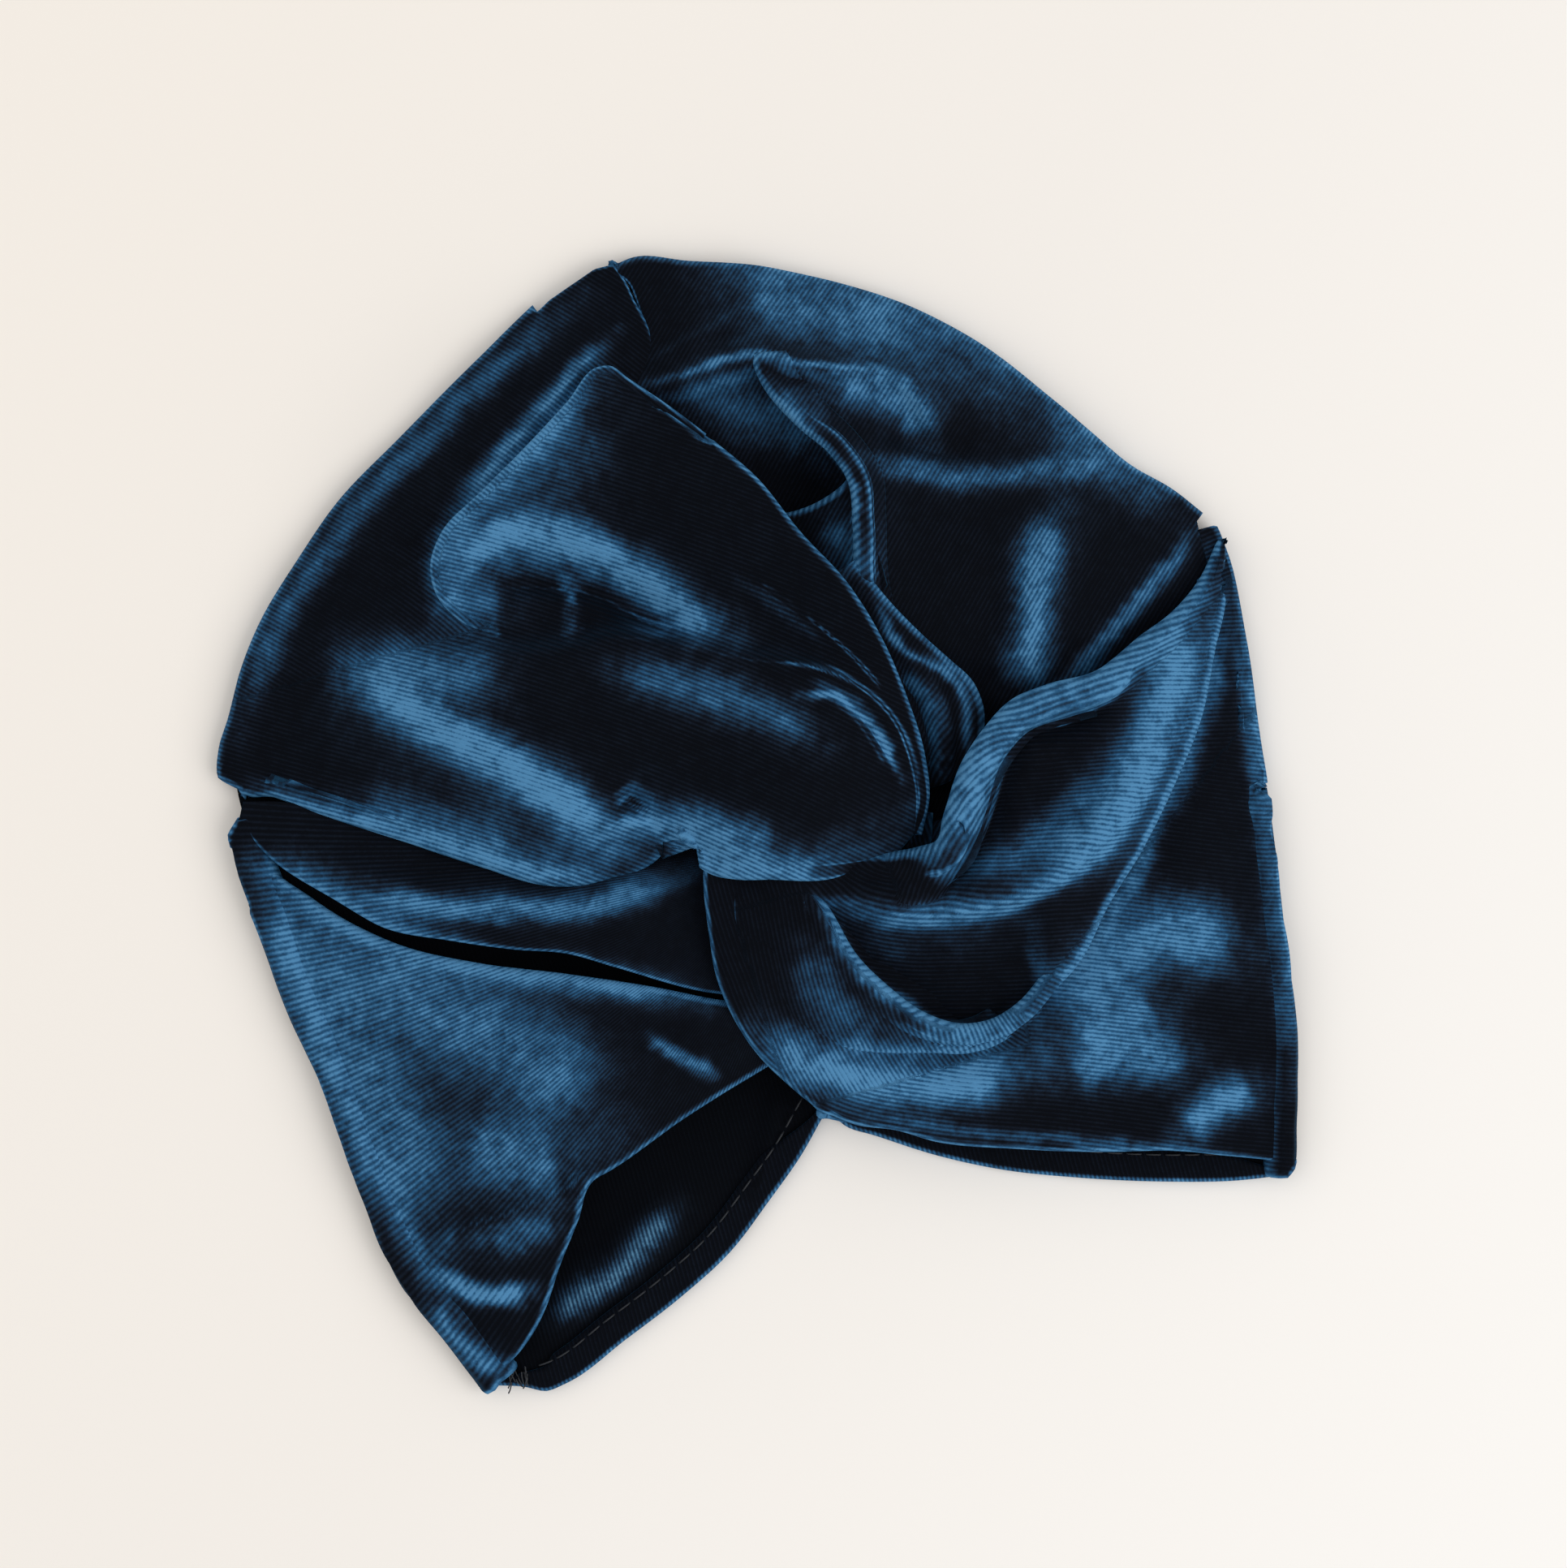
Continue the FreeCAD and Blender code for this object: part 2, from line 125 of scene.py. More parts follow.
def cloth_between(lower, upper, along, across, start=None, end=None):
    """Points (x, y) in a grid between four lines. Lower and upper run from start to end.

    Where start or end isn't given, it is a straight line from lower to upper.
    """
    low, high = smooth_line(lower, along), smooth_line(upper, along)
    left = smooth_line([low[0], high[0]] if start is None else start, across)
    right = smooth_line([low[-1], high[-1]] if end is None else end, across)
    left += (low[0] - left[0]) + np.linspace(0, 1, across)[:, None] * (high[0] - low[0] - left[-1] + left[0])
    right += (low[-1] - right[0]) + np.linspace(0, 1, across)[:, None] * (
        high[-1] - low[-1] - right[-1] + right[0])
    u = np.linspace(0, 1, along)[:, None, None]
    v = np.linspace(0, 1, across)[None, :, None]
    ruled = (1 - v) * low[:, None] + v * high[:, None]
    crossed = (1 - u) * left[None] + u * right[None]
    corners = ((1 - u) * (1 - v) * low[0] + (1 - u) * v * high[0] + u * (1 - v) * low[-1] + u * v * high[-1])
    return ruled + crossed - corners


# ---- heights

def smooth_heights(known):
    """A smooth height at any x, y, through given ones: rows of x, y, z."""
    known = np.array(known, float)
    spots = known[:, :2]

    def bend(dx, dy):
        square = dx * dx + dy * dy + 1e-6
        return square * np.log(square)

    size = len(known)
    table = np.zeros((size + 3, size + 3))
    table[:size, :size] = bend(spots[:, None, 0] - spots[None, :, 0], spots[:, None, 1] - spots[None, :, 1])
    table[:size, size:] = np.column_stack([np.ones(size), spots])
    table[size:, :size] = table[:size, size:].T
    weights = np.linalg.solve(table, np.concatenate([known[:, 2], np.zeros(3)]))

    def height(x, y):
        total = weights[size] + weights[size + 1] * x + weights[size + 2] * y
        for spot, weight in zip(spots, weights):
            total = total + weight * bend(x - spot[0], y - spot[1])
        return total

    return height


def crease(x, y, line, height, left, right, ends=0.2):
    """A ridge, or below 0 a valley, that falls away over left and right millimetres beside a line."""
    distance, place = beside(line, x, y)
    fade = eased(place / ends) * eased((1 - place) / ends)
    reach = np.where(distance > 0, left, right)
    return height * fade * np.exp(-(distance / reach)**2)


def creased(x, y, z, folds):
    """The heights z with each fold's crease added. A fold is crease()'s line, height, left and right."""
    for fold in folds:
        z = z + crease(x, y, *fold)
    return z


def ripples(x, y, size, seed, count=9):
    """Gentle uneven waves about size millimetres long, between -1 and 1."""
    dice = np.random.default_rng(seed)
    total = np.zeros_like(x)
    for _ in range(count):
        heading = dice.uniform(0, math.tau)
        length = size * dice.uniform(0.7, 1.6)
        total += np.sin((x * math.cos(heading) + y * math.sin(heading)) * math.tau / length
                        + dice.uniform(0, math.tau))
    return total / count**0.5 / 1.6


# ---- edges

def evened(rows, reach):
    """Each row averaged with its neighbours on both sides."""
    padded = np.concatenate([rows[:1]] * reach + [rows] + [rows[-1:]] * reach)
    return sum(padded[i:i + len(rows)] for i in range(2 * reach + 1)) / (2 * reach + 1)


def rolled(grid, radius, tucked=8, held=0):
    """The grid (rows, columns, 3) with its last column rolled down and under, then tucked back in.

    The last column lies radius inside the edge that shows, and the roll comes out to that edge. The
    first rows, as many as held says, are part of another roll and turn as the row after them does.
    """
    tangent = np.gradient(grid[:, -1, :2], axis=0)
    tangent /= np.linalg.norm(tangent, axis=1)[:, None] + 1e-9
    out = grid[:, -1, :2] - grid[:, -4, :2]
    out -= (out * tangent).sum(axis=1)[:, None] * tangent
    run = np.linalg.norm(out, axis=1) + 1e-9
    out /= run[:, None]
    out = evened(out, 4)
    out /= np.linalg.norm(out, axis=1)[:, None] + 1e-9
    out[:held] = out[held]
    slope = np.clip(np.arctan2(grid[:, -4, 2] - grid[:, -1, 2], run), math.radians(-40), math.radians(75))
    slope = evened(slope[:, None], 3)[:, 0]
    slope[:held] = slope[held]
    radius = np.broadcast_to(np.asarray(radius, float), slope.shape)

    columns = grid.shape[1]
    reach = eased((np.arange(columns) - columns + 1 + 10) / 10.0)
    shifted = grid.copy()
    shifted[..., :2] += (radius * np.sin(slope))[:, None, None] * reach[None, :, None] * out[:, None]
    edge = shifted[:, -1]
    middle_xy = edge[:, :2] - (radius * np.sin(slope))[:, None] * out
    middle_z = edge[:, 2] - radius * np.cos(slope)
    added = []
    for step in range(1, ROLL_STEPS + 1):
        angle = slope + (math.pi - slope) * step / ROLL_STEPS
        added.append(np.column_stack([middle_xy + (radius * np.sin(angle))[:, None] * out,
                                      middle_z + radius * np.cos(angle)]))
    if tucked:
        last = added[-1]
        row = np.arange(len(grid))
        deep = tucked * eased((row - held) / TUCK_FADE) * eased((len(grid) - 1 - row) / TUCK_FADE)
        for step in range(1, TUCK_STEPS + 1):
            back = deep[:, None] * step / TUCK_STEPS
            added.append(np.column_stack([last[:, :2] - back * out, last[:, 2]]))
    return np.concatenate([shifted, np.stack(added, axis=1)], axis=1)


def roll_side(grid, side, radius, **how):
    """rolled(), for the side of the grid named: upper, lower, start or end."""
    if side == "upper":
        return rolled(grid, radius, **how)
    if side == "lower":
        return rolled(grid[:, ::-1], radius, **how)[:, ::-1]
    if side == "end":
        return rolled(grid.transpose(1, 0, 2), radius, **how).transpose(1, 0, 2)
    return rolled(grid[::-1].transpose(1, 0, 2), radius, **how).transpose(1, 0, 2)[::-1]


def kept_in(grid, line, side, start):
    """The grid with no corner past the outline: to the west above start, or to the north right of start."""
    kept = grid.copy()
    x, y = kept[..., 0], kept[..., 1]
    line = np.array(sorted(line, key=lambda point: point[0 if side == "north" else 1]), float)
    if side == "west":
        limit = np.maximum(x, np.interp(y, line[:, 1], line[:, 0]) - 0.8)
        kept[..., 0] = np.where(y > start, limit, x)
    else:
        limit = np.minimum(y, np.interp(x, line[:, 0], line[:, 1]) + 0.4)
        kept[..., 1] = np.where(x > start, limit, y)
    return kept


def lapped_fold(edge, inner, heights, radius):
    """A strip of cloth whose edge is folded under along a line, and whose inner side sinks into the cloth.

    The cloth below has its step down hidden under the strip, so that the fold is seen as one clean edge.
    """
    flat = cloth_between(inner, edge, 130, 26)
    row = np.arange(len(flat))
    shown = (eased(row / LAP_FADE) * eased((len(flat) - 1 - row) / LAP_FADE))[:, None]
    sink = np.linspace(-0.7, 0.35, flat.shape[1])[None, :] * shown - LAP_SUNK * (1 - shown)
    grid = with_heights(flat, heights(flat[..., 0], flat[..., 1]) + sink)
    return roll_side(grid, "upper", radius, tucked=3)


# ---- meshes

class Cloth:
    """Grids of points that become one mesh, with the painted sheen and the ribs kept on their points."""

    def __init__(self, name):
        self.name = name
        self.points = []
        self.faces = []
        self.painted_sheen = []
        self.ribs = []

    def add(self, grid, painted_highlights=(), rib_guide=None, floor=None):
        grid = grid.copy()
        if floor is not None:
            grid[..., 2] = np.maximum(grid[..., 2], floor)
        rows, columns = grid.shape[:2]
        first = len(self.points)
        x, y = grid[..., 0], grid[..., 1]
        # The painted sheen: light painted from the cloth's tilt, then each painted highlight stroke laid over
        # it as a soft band with ragged edges.
        light = tilted_light(grid)
        warp_x = x + 0.9 * ripples(x, y, 17, 51) + 0.4 * ripples(x, y, 5, 52)
        warp_y = y + 0.9 * ripples(x, y, 17, 53) + 0.4 * ripples(x, y, 5, 54)
        for line, width, strength in painted_highlights:
            distance, place = beside(line, warp_x, warp_y)
            fade = 0.25 + 0.75 * eased(place / 0.2) * eased((1 - place) / 0.2)
            light = 1 - (1 - light) * (1 - strength * fade * np.exp(-(distance / width)**2))
        rib = rib_guide(x, y) if rib_guide else x * 0
        self.points.extend(map(tuple, grid.reshape(-1, 3) * MM))
        self.painted_sheen.extend(light.ravel())
        self.ribs.extend(rib.ravel())
        for row in range(rows - 1):
            for column in range(columns - 1):
                corner = first + row * columns + column
                self.faces.append((corner, corner + 1, corner + columns + 1, corner + columns))
        return self

    def build(self, finish, thickness=VELVET_THICK):
        mesh = bpy.data.meshes.new(self.name)
        mesh.from_pydata(self.points, [], self.faces)
        piece = bpy.data.objects.new(self.name, mesh)
        bpy.context.scene.collection.objects.link(piece)
        face_up(mesh)
        for title, values in (("painted_sheen", self.painted_sheen), ("rib", self.ribs)):
            layer = mesh.attributes.new(title, "FLOAT", "POINT")
            layer.data.foreach_set("value", np.array(values, np.float32))
        mesh.polygons.foreach_set("use_smooth", [True] * len(mesh.polygons))
        mesh.materials.append(finish)
        wall = piece.modifiers.new("cloth thickness", "SOLIDIFY")
        wall.thickness = thickness * MM
        wall.offset = -1
        return piece


def along_ribs(guide):
    """The place across the ribs of each point, for ribs that run beside one smooth guide line."""
    line = smooth_line(guide, 40)
    return lambda x, y: beside(line, x, y)[0]


def tilted_light(grid):
    """Painted sheen: how light the pile is painted, most where it tilts away to the lower left, as if lit
    from there, and on steep slopes, with a painted rim highlight where it opens over a tight fold.
    """
    along = np.gradient(grid, axis=0)
    across = np.gradient(grid, axis=1)
    normal = np.cross(along, across)
    normal /= np.linalg.norm(normal, axis=2)[..., None] + 1e-12
    normal *= np.where(np.median(normal[..., 2]) < 0, -1, 1)
    tilt = np.degrees(np.arccos(np.clip(np.abs(normal[..., 2]), 0, 1)))
    lean = np.hypot(normal[..., 0], normal[..., 1]) + 1e-6
    toward = (normal[..., 0] * -0.6 + normal[..., 1] * -0.8) / lean
    slope = 0.55 * eased((tilt - 18) / 48) * (0.5 + 0.5 * toward)
    curl = np.zeros(tilt.shape)
    for axis, step in ((0, along), (1, across)):
        turned = np.linalg.norm(np.gradient(normal, axis=axis), axis=2)
        curl = np.maximum(curl, turned / (np.linalg.norm(step, axis=2) + 0.02))
    opened = eased((curl - 0.16) / 0.25) * eased((tilt - 20) / 25)
    return np.maximum(slope, np.maximum(0.5 * eased((tilt - 52) / 26), 0.62 * opened))


def face_up(mesh):
    """Turns the faces so that their fronts look up on the whole."""
    mesh.update()
    upward = sum(face.normal.z * face.area for face in mesh.polygons)
    if upward < 0:
        mesh.flip_normals()


def with_heights(flat, heights):
    """Points (x, y, z) from points (x, y) and their heights."""
    return np.dstack([flat, heights])


# ---- finishes

def colour(hex_code):
    """An sRGB hex code as linear red, green, blue and alpha."""
    parts = [int(hex_code[i:i + 2], 16) / 255 for i in (1, 3, 5)]
    return tuple(c / 12.92 if c <= 0.04045 else ((c + 0.055) / 1.055)**2.4 for c in parts) + (1.0,)


def node(tree, kind, settings=None, **links):
    """A new node with its settings. Each named input gets a value, a socket or a node's first output."""
    made = tree.nodes.new(kind)
    for key, value in (settings or {}).items():
        setattr(made, key, value)
    for key, value in links.items():
        socket = made.inputs[int(key[1:])] if key[0] == "_" else made.inputs[key.replace("_", " ")]
        if isinstance(value, bpy.types.Node):
            value = value.outputs[0]
        if isinstance(value, bpy.types.NodeSocket):
            tree.links.new(value, socket)
        else:
            socket.default_value = value
    return made


def fill(bar, stops):
    """Sets a colour ramp's (place, hex code) stops."""
    while len(bar.elements) < len(stops):
        bar.elements.new(0.5)
    for element, (place, code) in zip(bar.elements, stops):
        element.position = place
        element.color = colour(code)


ADD = {"operation": "ADD"}
MULTIPLY = {"operation": "MULTIPLY"}
MULTIPLY_ADD = {"operation": "MULTIPLY_ADD"}
SINE = {"operation": "SINE"}


def new_material(name):
    """An empty node material and its tree."""
    made = bpy.data.materials.new(name)
    made.use_nodes = True
    made.node_tree.nodes.clear()
    return made, made.node_tree


def corded_velvet(name, stops, sheen, bump=0.5, mottling=0.5):
    """Stretch velvet with fine ribs: near-black, and blue where the painted sheen on its points is high."""
    made, tree = new_material(name)
    place = node(tree, "ShaderNodeTexCoord").outputs["Object"]
    # The painted sheen and painted highlights kept on each point, which the ramp below turns from near-black
    # to blue.
    painted_sheen = node(tree, "ShaderNodeAttribute", {"attribute_name": "painted_sheen"}).outputs["Fac"]
    rib = node(tree, "ShaderNodeAttribute", {"attribute_name": "rib"}).outputs["Fac"]

    # Mottled patches about 12 mm across, flecks of 3 mm, and single tufts of pile of under 1 mm, which break
    # up the painted sheen and add a little tone of their own.
    cloud = node(tree, "ShaderNodeTexNoise", Vector=place, Scale=85.0, Detail=3.0, Roughness=0.6)
    fleck = node(tree, "ShaderNodeTexNoise", Vector=place, Scale=330.0, Detail=3.0, Roughness=0.65)
    grain = node(tree, "ShaderNodeTexNoise", Vector=place, Scale=1500.0, Detail=2.0, Roughness=0.7)
    clouded = node(tree, "ShaderNodeMath", MULTIPLY_ADD, _0=cloud, _1=1.0, _2=-0.5)
    flecked = node(tree, "ShaderNodeMath", MULTIPLY_ADD, _0=fleck, _1=1.5, _2=-0.75)
    uneven = node(tree, "ShaderNodeMath", ADD, _0=clouded, _1=flecked)
    patchy = node(tree, "ShaderNodeMath", MULTIPLY_ADD, _0=uneven, _1=mottling * 1.7, _2=1.0)
    lit = node(tree, "ShaderNodeMath", MULTIPLY, _0=painted_sheen, _1=patchy)
    light = node(tree, "ShaderNodeMath", MULTIPLY_ADD, _0=uneven, _1=mottling * 0.16, _2=lit)

    # The ribs and the tufts show most where the painted sheen is light.
    turns = node(tree, "ShaderNodeMath", MULTIPLY, _0=rib, _1=math.tau / RIB_PITCH)
    wave = node(tree, "ShaderNodeMath", SINE, _0=turns)
    speck = node(tree, "ShaderNodeMath", MULTIPLY_ADD, _0=grain, _1=0.5, _2=-0.25)
    ribbed = node(tree, "ShaderNodeMath", MULTIPLY_ADD, _0=wave, _1=0.26, _2=speck)
    strength = node(tree, "ShaderNodeMath", MULTIPLY_ADD, _0=light, _1=0.9, _2=0.2)
    lined = node(tree, "ShaderNodeMath", MULTIPLY, _0=ribbed, _1=strength)
    shade = node(tree, "ShaderNodeMath", ADD, _0=light, _1=lined)
    tone = node(tree, "ShaderNodeValToRGB", _0=shade)
    fill(tone.color_ramp, stops)

    tufts = node(tree, "ShaderNodeMath", MULTIPLY, _0=grain, _1=0.8)
    pile = node(tree, "ShaderNodeMath", MULTIPLY_ADD, _0=wave, _1=0.6, _2=tufts)
    relief = node(tree, "ShaderNodeBump", Strength=bump, Distance=0.15 * MM, Height=pile)
    skin = node(tree, "ShaderNodeBsdfPrincipled", Base_Color=tone, Roughness=0.75, Normal=relief)
    skin.inputs["Specular IOR Level"].default_value = 0.03
    skin.inputs["Sheen Weight"].default_value = 0.32
    skin.inputs["Sheen Roughness"].default_value = 0.4
    skin.inputs["Sheen Tint"].default_value = colour(sheen)
    node(tree, "ShaderNodeOutputMaterial", Surface=skin.outputs[0])
    return made


# From near-black velvet up to the blue of the painted sheen.
NAVY_STOPS = [(0.0, "#080A10"), (0.14, "#131A26"), (0.32, "#1D364F"), (0.58, "#28567D"), (1.0, "#5088B4")]
INNER_STOPS = [(0.0, "#06080D"), (0.25, "#0E141D"), (0.5, "#1B2F45"), (0.8, "#345B7A"), (1.0, "#527E9C")]
velvet = corded_velvet("navy corded velvet, lustrous pile", NAVY_STOPS, "#3C7FB0")
inner_velvet = corded_velvet("navy velvet lining, crushed pile", INNER_STOPS, "#2B5577", bump=0.3,
                             mottling=0.35)


def sewing_thread():
    """Spun polyester thread, navy, with its twist as fine slanting bands."""
    made, tree = new_material("navy spun thread")
    place = node(tree, "ShaderNodeTexCoord").outputs["Object"]
    twist = node(tree, "ShaderNodeTexWave", {"bands_direction": "DIAGONAL"}, Vector=place, Scale=900.0,
                 Distortion=1.0).outputs[1]
    tone = node(tree, "ShaderNodeValToRGB", _0=twist)
    fill(tone.color_ramp, [(0.0, "#080B11"), (1.0, "#121B27")])
    relief = node(tree, "ShaderNodeBump", Strength=0.4, Distance=0.05 * MM, Height=twist)
    skin = node(tree, "ShaderNodeBsdfPrincipled", Base_Color=tone, Roughness=0.6, Normal=relief)
    node(tree, "ShaderNodeOutputMaterial", Surface=skin.outputs[0])
    return made


thread = sewing_thread()


def declare(piece, nodes):
    """Hangs a piece on the root body, and hides the CAD parts that it stands for."""
    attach(piece, "root")
    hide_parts(*nodes)


# ---- the outline and the hems

LEFT_CROWN = [(-116, 29), (-120, 33), (-118, 40), (-114, 46), (-108, 56), (-100, 66), (-89, 76), (-77, 86),
              (-58, 97), (-34, 110), (-16, 119.5), (-4, 123.6), (1, 123.4)]
RIGHT_CROWN = [(1, 124), (5, 124.5), (18, 120), (34, 114), (44, 109), (63, 97), (77, 84), (91, 65),
               (105, 45), (111, 39), (117, 31)]
LEFT_SIDE = [(-115, 28), (-120, 22), (-120, 10), (-119, 0), (-118, -18), (-115, -37), (-113, -69),
             (-110, -89), (-103, -105), (-98, -118)]
RIGHT_SIDE = [(116, 30), (119, 28), (120, 22), (119, 2), (116, -21), (113, -44), (109, -69), (105, -93),
              (100, -109), (96, -122)]
LEFT_BACK_HEM = [(-5, -79), (-8, -82), (-13, -87), (-24, -96), (-36, -105), (-50, -112), (-65, -118),
                 (-81, -124), (-86, -124.5), (-91, -122), (-97, -120)]
RIGHT_BACK_HEM = [(-5, -79), (-2, -84), (4, -88), (16, -96), (31, -104), (46, -110), (67, -117), (82, -121),
                  (94, -123)]
LEFT_FRONT_HEM = [(-98, -121), (-95, -118), (-88, -113), (-81, -106), (-74, -96), (-67, -87), (-61, -79),
                  (-57, -78), (-37, -71), (-16, -65), (-4, -62)]
RIGHT_FRONT_HEM = [(95, -121), (87, -117), (71, -110), (53, -105), (35, -99), (17, -92), (9, -87), (0, -83),
                   (-5, -79)]


# ---- the back, flat on the table

def back_half(side, crown, lower, hem, sign):
    """One half of the back: the outer velvet with its hem rolled up and in, and the lining on it."""
    outline = (crown if sign > 0 else crown[::-1])[:-2] + lower[2:]
    outer = inset(outline, -sign * (OUTLINE_ROLL + 0.5))
    hem_line = inset(hem, sign * HEM_ROLL)
    outer[-1] = hem_line[-1]
    seam = [(1 + sign * 0.4, 121), (-2 + sign * 0.4, 20), tuple(hem_line[0])]
    flat = cloth_between(seam, outer, 150, 90, end=hem_line)
    x, y = flat[..., 0], flat[..., 1]
    level = TABLE_GAP + BACK_THICK * eased((y - 113) / 5)
    # The hem is rolled upwards, so it is rolled upside down and turned over.
    turned = roll_side(with_heights(flat, -level), "end", HEM_ROLL, tucked=6)
    turned[..., 2] *= -1
    guide = along_ribs([(0, 130), (0, 0), (0, -130)])
    piece = Cloth(f"{side}_back_cloth").add(turned, [], guide).build(velvet, BACK_THICK)
    piece.modifiers["cloth thickness"].offset = 1
    declare(piece, [f"{side}_back_panel", f"{side}_hem_turn"])

    top = with_heights(flat[:, 1:], 2.6 + 0.35 * ripples(x[:, 1:], y[:, 1:], 34, 5))
    if side == "left":
        bx, by = top[..., 0], top[..., 1]
        top[..., 2] += crease(bx, by, [(-84, -108), (-72, -106), (-58, -98), (-42, -89)], 2.2, 5, 3)
        top[..., 2] += crease(bx, by, [(-30, -96), (-20, -84), (-14, -70)], 1.2, 3, 3)
        # A painted highlight: a streak of painted sheen on the lining inside the mouth.
        painted_highlights = [([(-82, -108), (-76, -107), (-68, -104), (-58, -99), (-44, -91)], 3.5, 0.75)]
    else:
        painted_highlights = []
    lining = Cloth(f"{side}_back_inside").add(top, painted_highlights, guide)
    inside = lining.build(inner_velvet, LINING_THICK)
    declare(inside, [f"{side}_back_lining"])


back_half("left", LEFT_CROWN, LEFT_SIDE, LEFT_BACK_HEM, -1)
back_half("right", RIGHT_CROWN, RIGHT_SIDE, RIGHT_BACK_HEM, 1)


# ---- the left crown arm, over the knot

def lined(name, nodes, grids, painted_highlights, guide, flat, area, lining_nodes, lining_grids, lining_flat,
          lining_area):
    """An arm's outer velvet, and its lining just below."""
    cloth = Cloth(name)
    for grid in grids:
        cloth.add(grid, painted_highlights, guide, floor=FLOOR)
    declare(cloth.build(velvet), nodes)
    inside = Cloth(f"{name}_inside")
    for grid in lining_grids:
        under = grid.copy()
        under[..., 2] -= LINING_DROP
        inside.add(under, [], guide, floor=4.0)
    declare(inside.build(inner_velvet, LINING_THICK), lining_nodes)


CROWN_LOWER = [(-116, 29), (-112, 27), (-100, 19), (-83, 8), (-66, -3), (-53, -11), (-42, -14), (-32, -14),
               (-26, -12), (-22, -9), (-20, -14), (-16, -19), (-10, -22), (-3, -24), (6, -27), (15, -28.5),
               (22, -29), (28, -28)]
CROWN_UPPER = [(1.5, 123.5), (3.2, 119), (4.2, 113), (5, 106), (5, 100), (3.6, 95), (2.5, 92), (4, 87),
               (10.5, 78), (19, 65), (25, 50.5), (32, 36.5), (36, 23), (38, 8), (38.5, -5), (37, -15),
               (33, -23)]


def left_crown_arm():
    lower = inset(CROWN_LOWER, 3.2)
    upper = inset(CROWN_UPPER, -1.8)
    side = inset(LEFT_CROWN, -OUTLINE_ROLL)
    flat = cloth_between(lower, upper, 200, 190, start=side)
    x, y = flat[..., 0], flat[..., 1]
    panel = smooth_heights([
        (-113, 33, 6.6), (-110, 46, 6.6), (-95, 67, 6.6), (-75, 83, 6.6), (-50, 97, 6.6), (-20, 113, 6.6),
        (0, 120, 6.6), (-97, 45, 9), (-82, 61, 10), (-62, 78, 10.5), (-36, 97, 11), (-14, 108, 10.5),
        (4, 110, 9.5), (3, 102, 10), (-66, 70, 11), (-50, 82, 12), (-30, 94, 12.5), (-10, 104, 12),
        (0, 94, 12), (-68, 62, 12.5), (-70, 56, 14), (-60, 50, 16), (-84, 48, 13), (-40, 60, 14),
        (-20, 80, 14), (-90, 50, 10.5), (-78, 45, 16), (-98, 20, 10), (10, 80, 14), (-30, 40, 20),
        (20, 40, 20),
    ])
    puffed = smooth_heights([
        (-113, 33, 6.6), (-110, 46, 6.6), (-97, 45, 9), (-82, 61, 12), (-8, 100, 21), (-1, 92, 22),
        (-16, 94, 21.5), (-31, 84, 21.5), (-45, 76, 20.5), (-55, 71, 19), (-58, 63, 18), (-55, 54, 17),
        (-72, 56, 13), (-30, 100, 19), (-60, 84, 16), (-15, 76, 25.5), (5, 62, 30), (12, 73, 27),
        (5, 84, 25), (21, 54, 32), (28, 38, 34), (34, 14, 33), (36, -6, 29), (34, -18, 24), (-48, 64, 19),
        (-34, 66, 21.5), (-22, 62, 24), (-42, 55, 17.5), (-25, 49, 19), (-14, 42, 21), (-5, 38, 24),
        (12, 29, 28.5), (-90, 50, 10.5), (-78, 45, 16), (-60, 35, 23), (-40, 27, 28), (-18, 18, 32),
        (5, 8, 35), (20, -4, 35.5), (-100, 24, 9.5), (-80, 15, 15), (-60, 5, 19.5), (-45, -3, 21.5),
        (-33, -4, 22.5), (-25, 2, 26), (-10, -12, 30), (6, -18, 31), (20, -20, 29), (28, -22, 25),
        (-98, 20, 10), (-66, 0, 16), (-46, -9, 17.5), (-30, -10, 18.5), (-21, -6, 23), (-14, -17, 24),
        (6, -24, 25.5), (20, -26, 24),
    ])

    def lobes(x, y):
        z = creased(x, y, puffed(x, y), [
            ([(-50, 60), (-34, 56), (-23, 51), (-14, 42), (-4, 33.5)], -4.0, 6, 3.2),
            ([(-74, 54), (-56, 44.5), (-43, 40.5), (-31, 39), (-21, 38.5), (-12, 35), (5, 25.8), (17, 20.6),
              (26, 15), (34, 7)], 3.4, 3.4, 10),
            ([(-28, 60), (-29.5, 50), (-32, 41)], 1.6, 2.0, 2.0),
            ([(11, 24), (20, 19.5), (28, 12.5), (33, 4), (34.5, -6), (33.5, -16), (31, -22)], 1.6, 0.9, 5),
            ([(13, 17), (20, 14.5), (26, 8.5), (29.5, 0), (31.5, -9)], -1.6, 2.2, 1.5),
            ([(6, 50), (18, 35), (28, 20), (34, 8)], 1.1, 0.8, 2.5),
            ([(-88, 54), (-76, 42), (-62, 28), (-49, 15), (-39, 3), (-33, -7)], 3.6, 4.5, 13),
            ([(-38, -4), (-33, -1), (-27, -3), (-21, -5)], 2.6, 2.4, 2.4),
            ([(-30, 6), (-26, -1), (-24, -7)], -2.6, 2.4, 2.4),
            ([(-28, 6), (-20, -4), (-10, -13), (4, -19), (18, -22)], 2.4, 8, 4),
            ([(-112, 32), (-95, 22), (-75, 10), (-56, -1), (-42, -6)], 1.2, 6, 4),
        ])
        return z + 0.35 * ripples(x, y, 22, 11) + 0.12 * ripples(x, y, 8, 12)

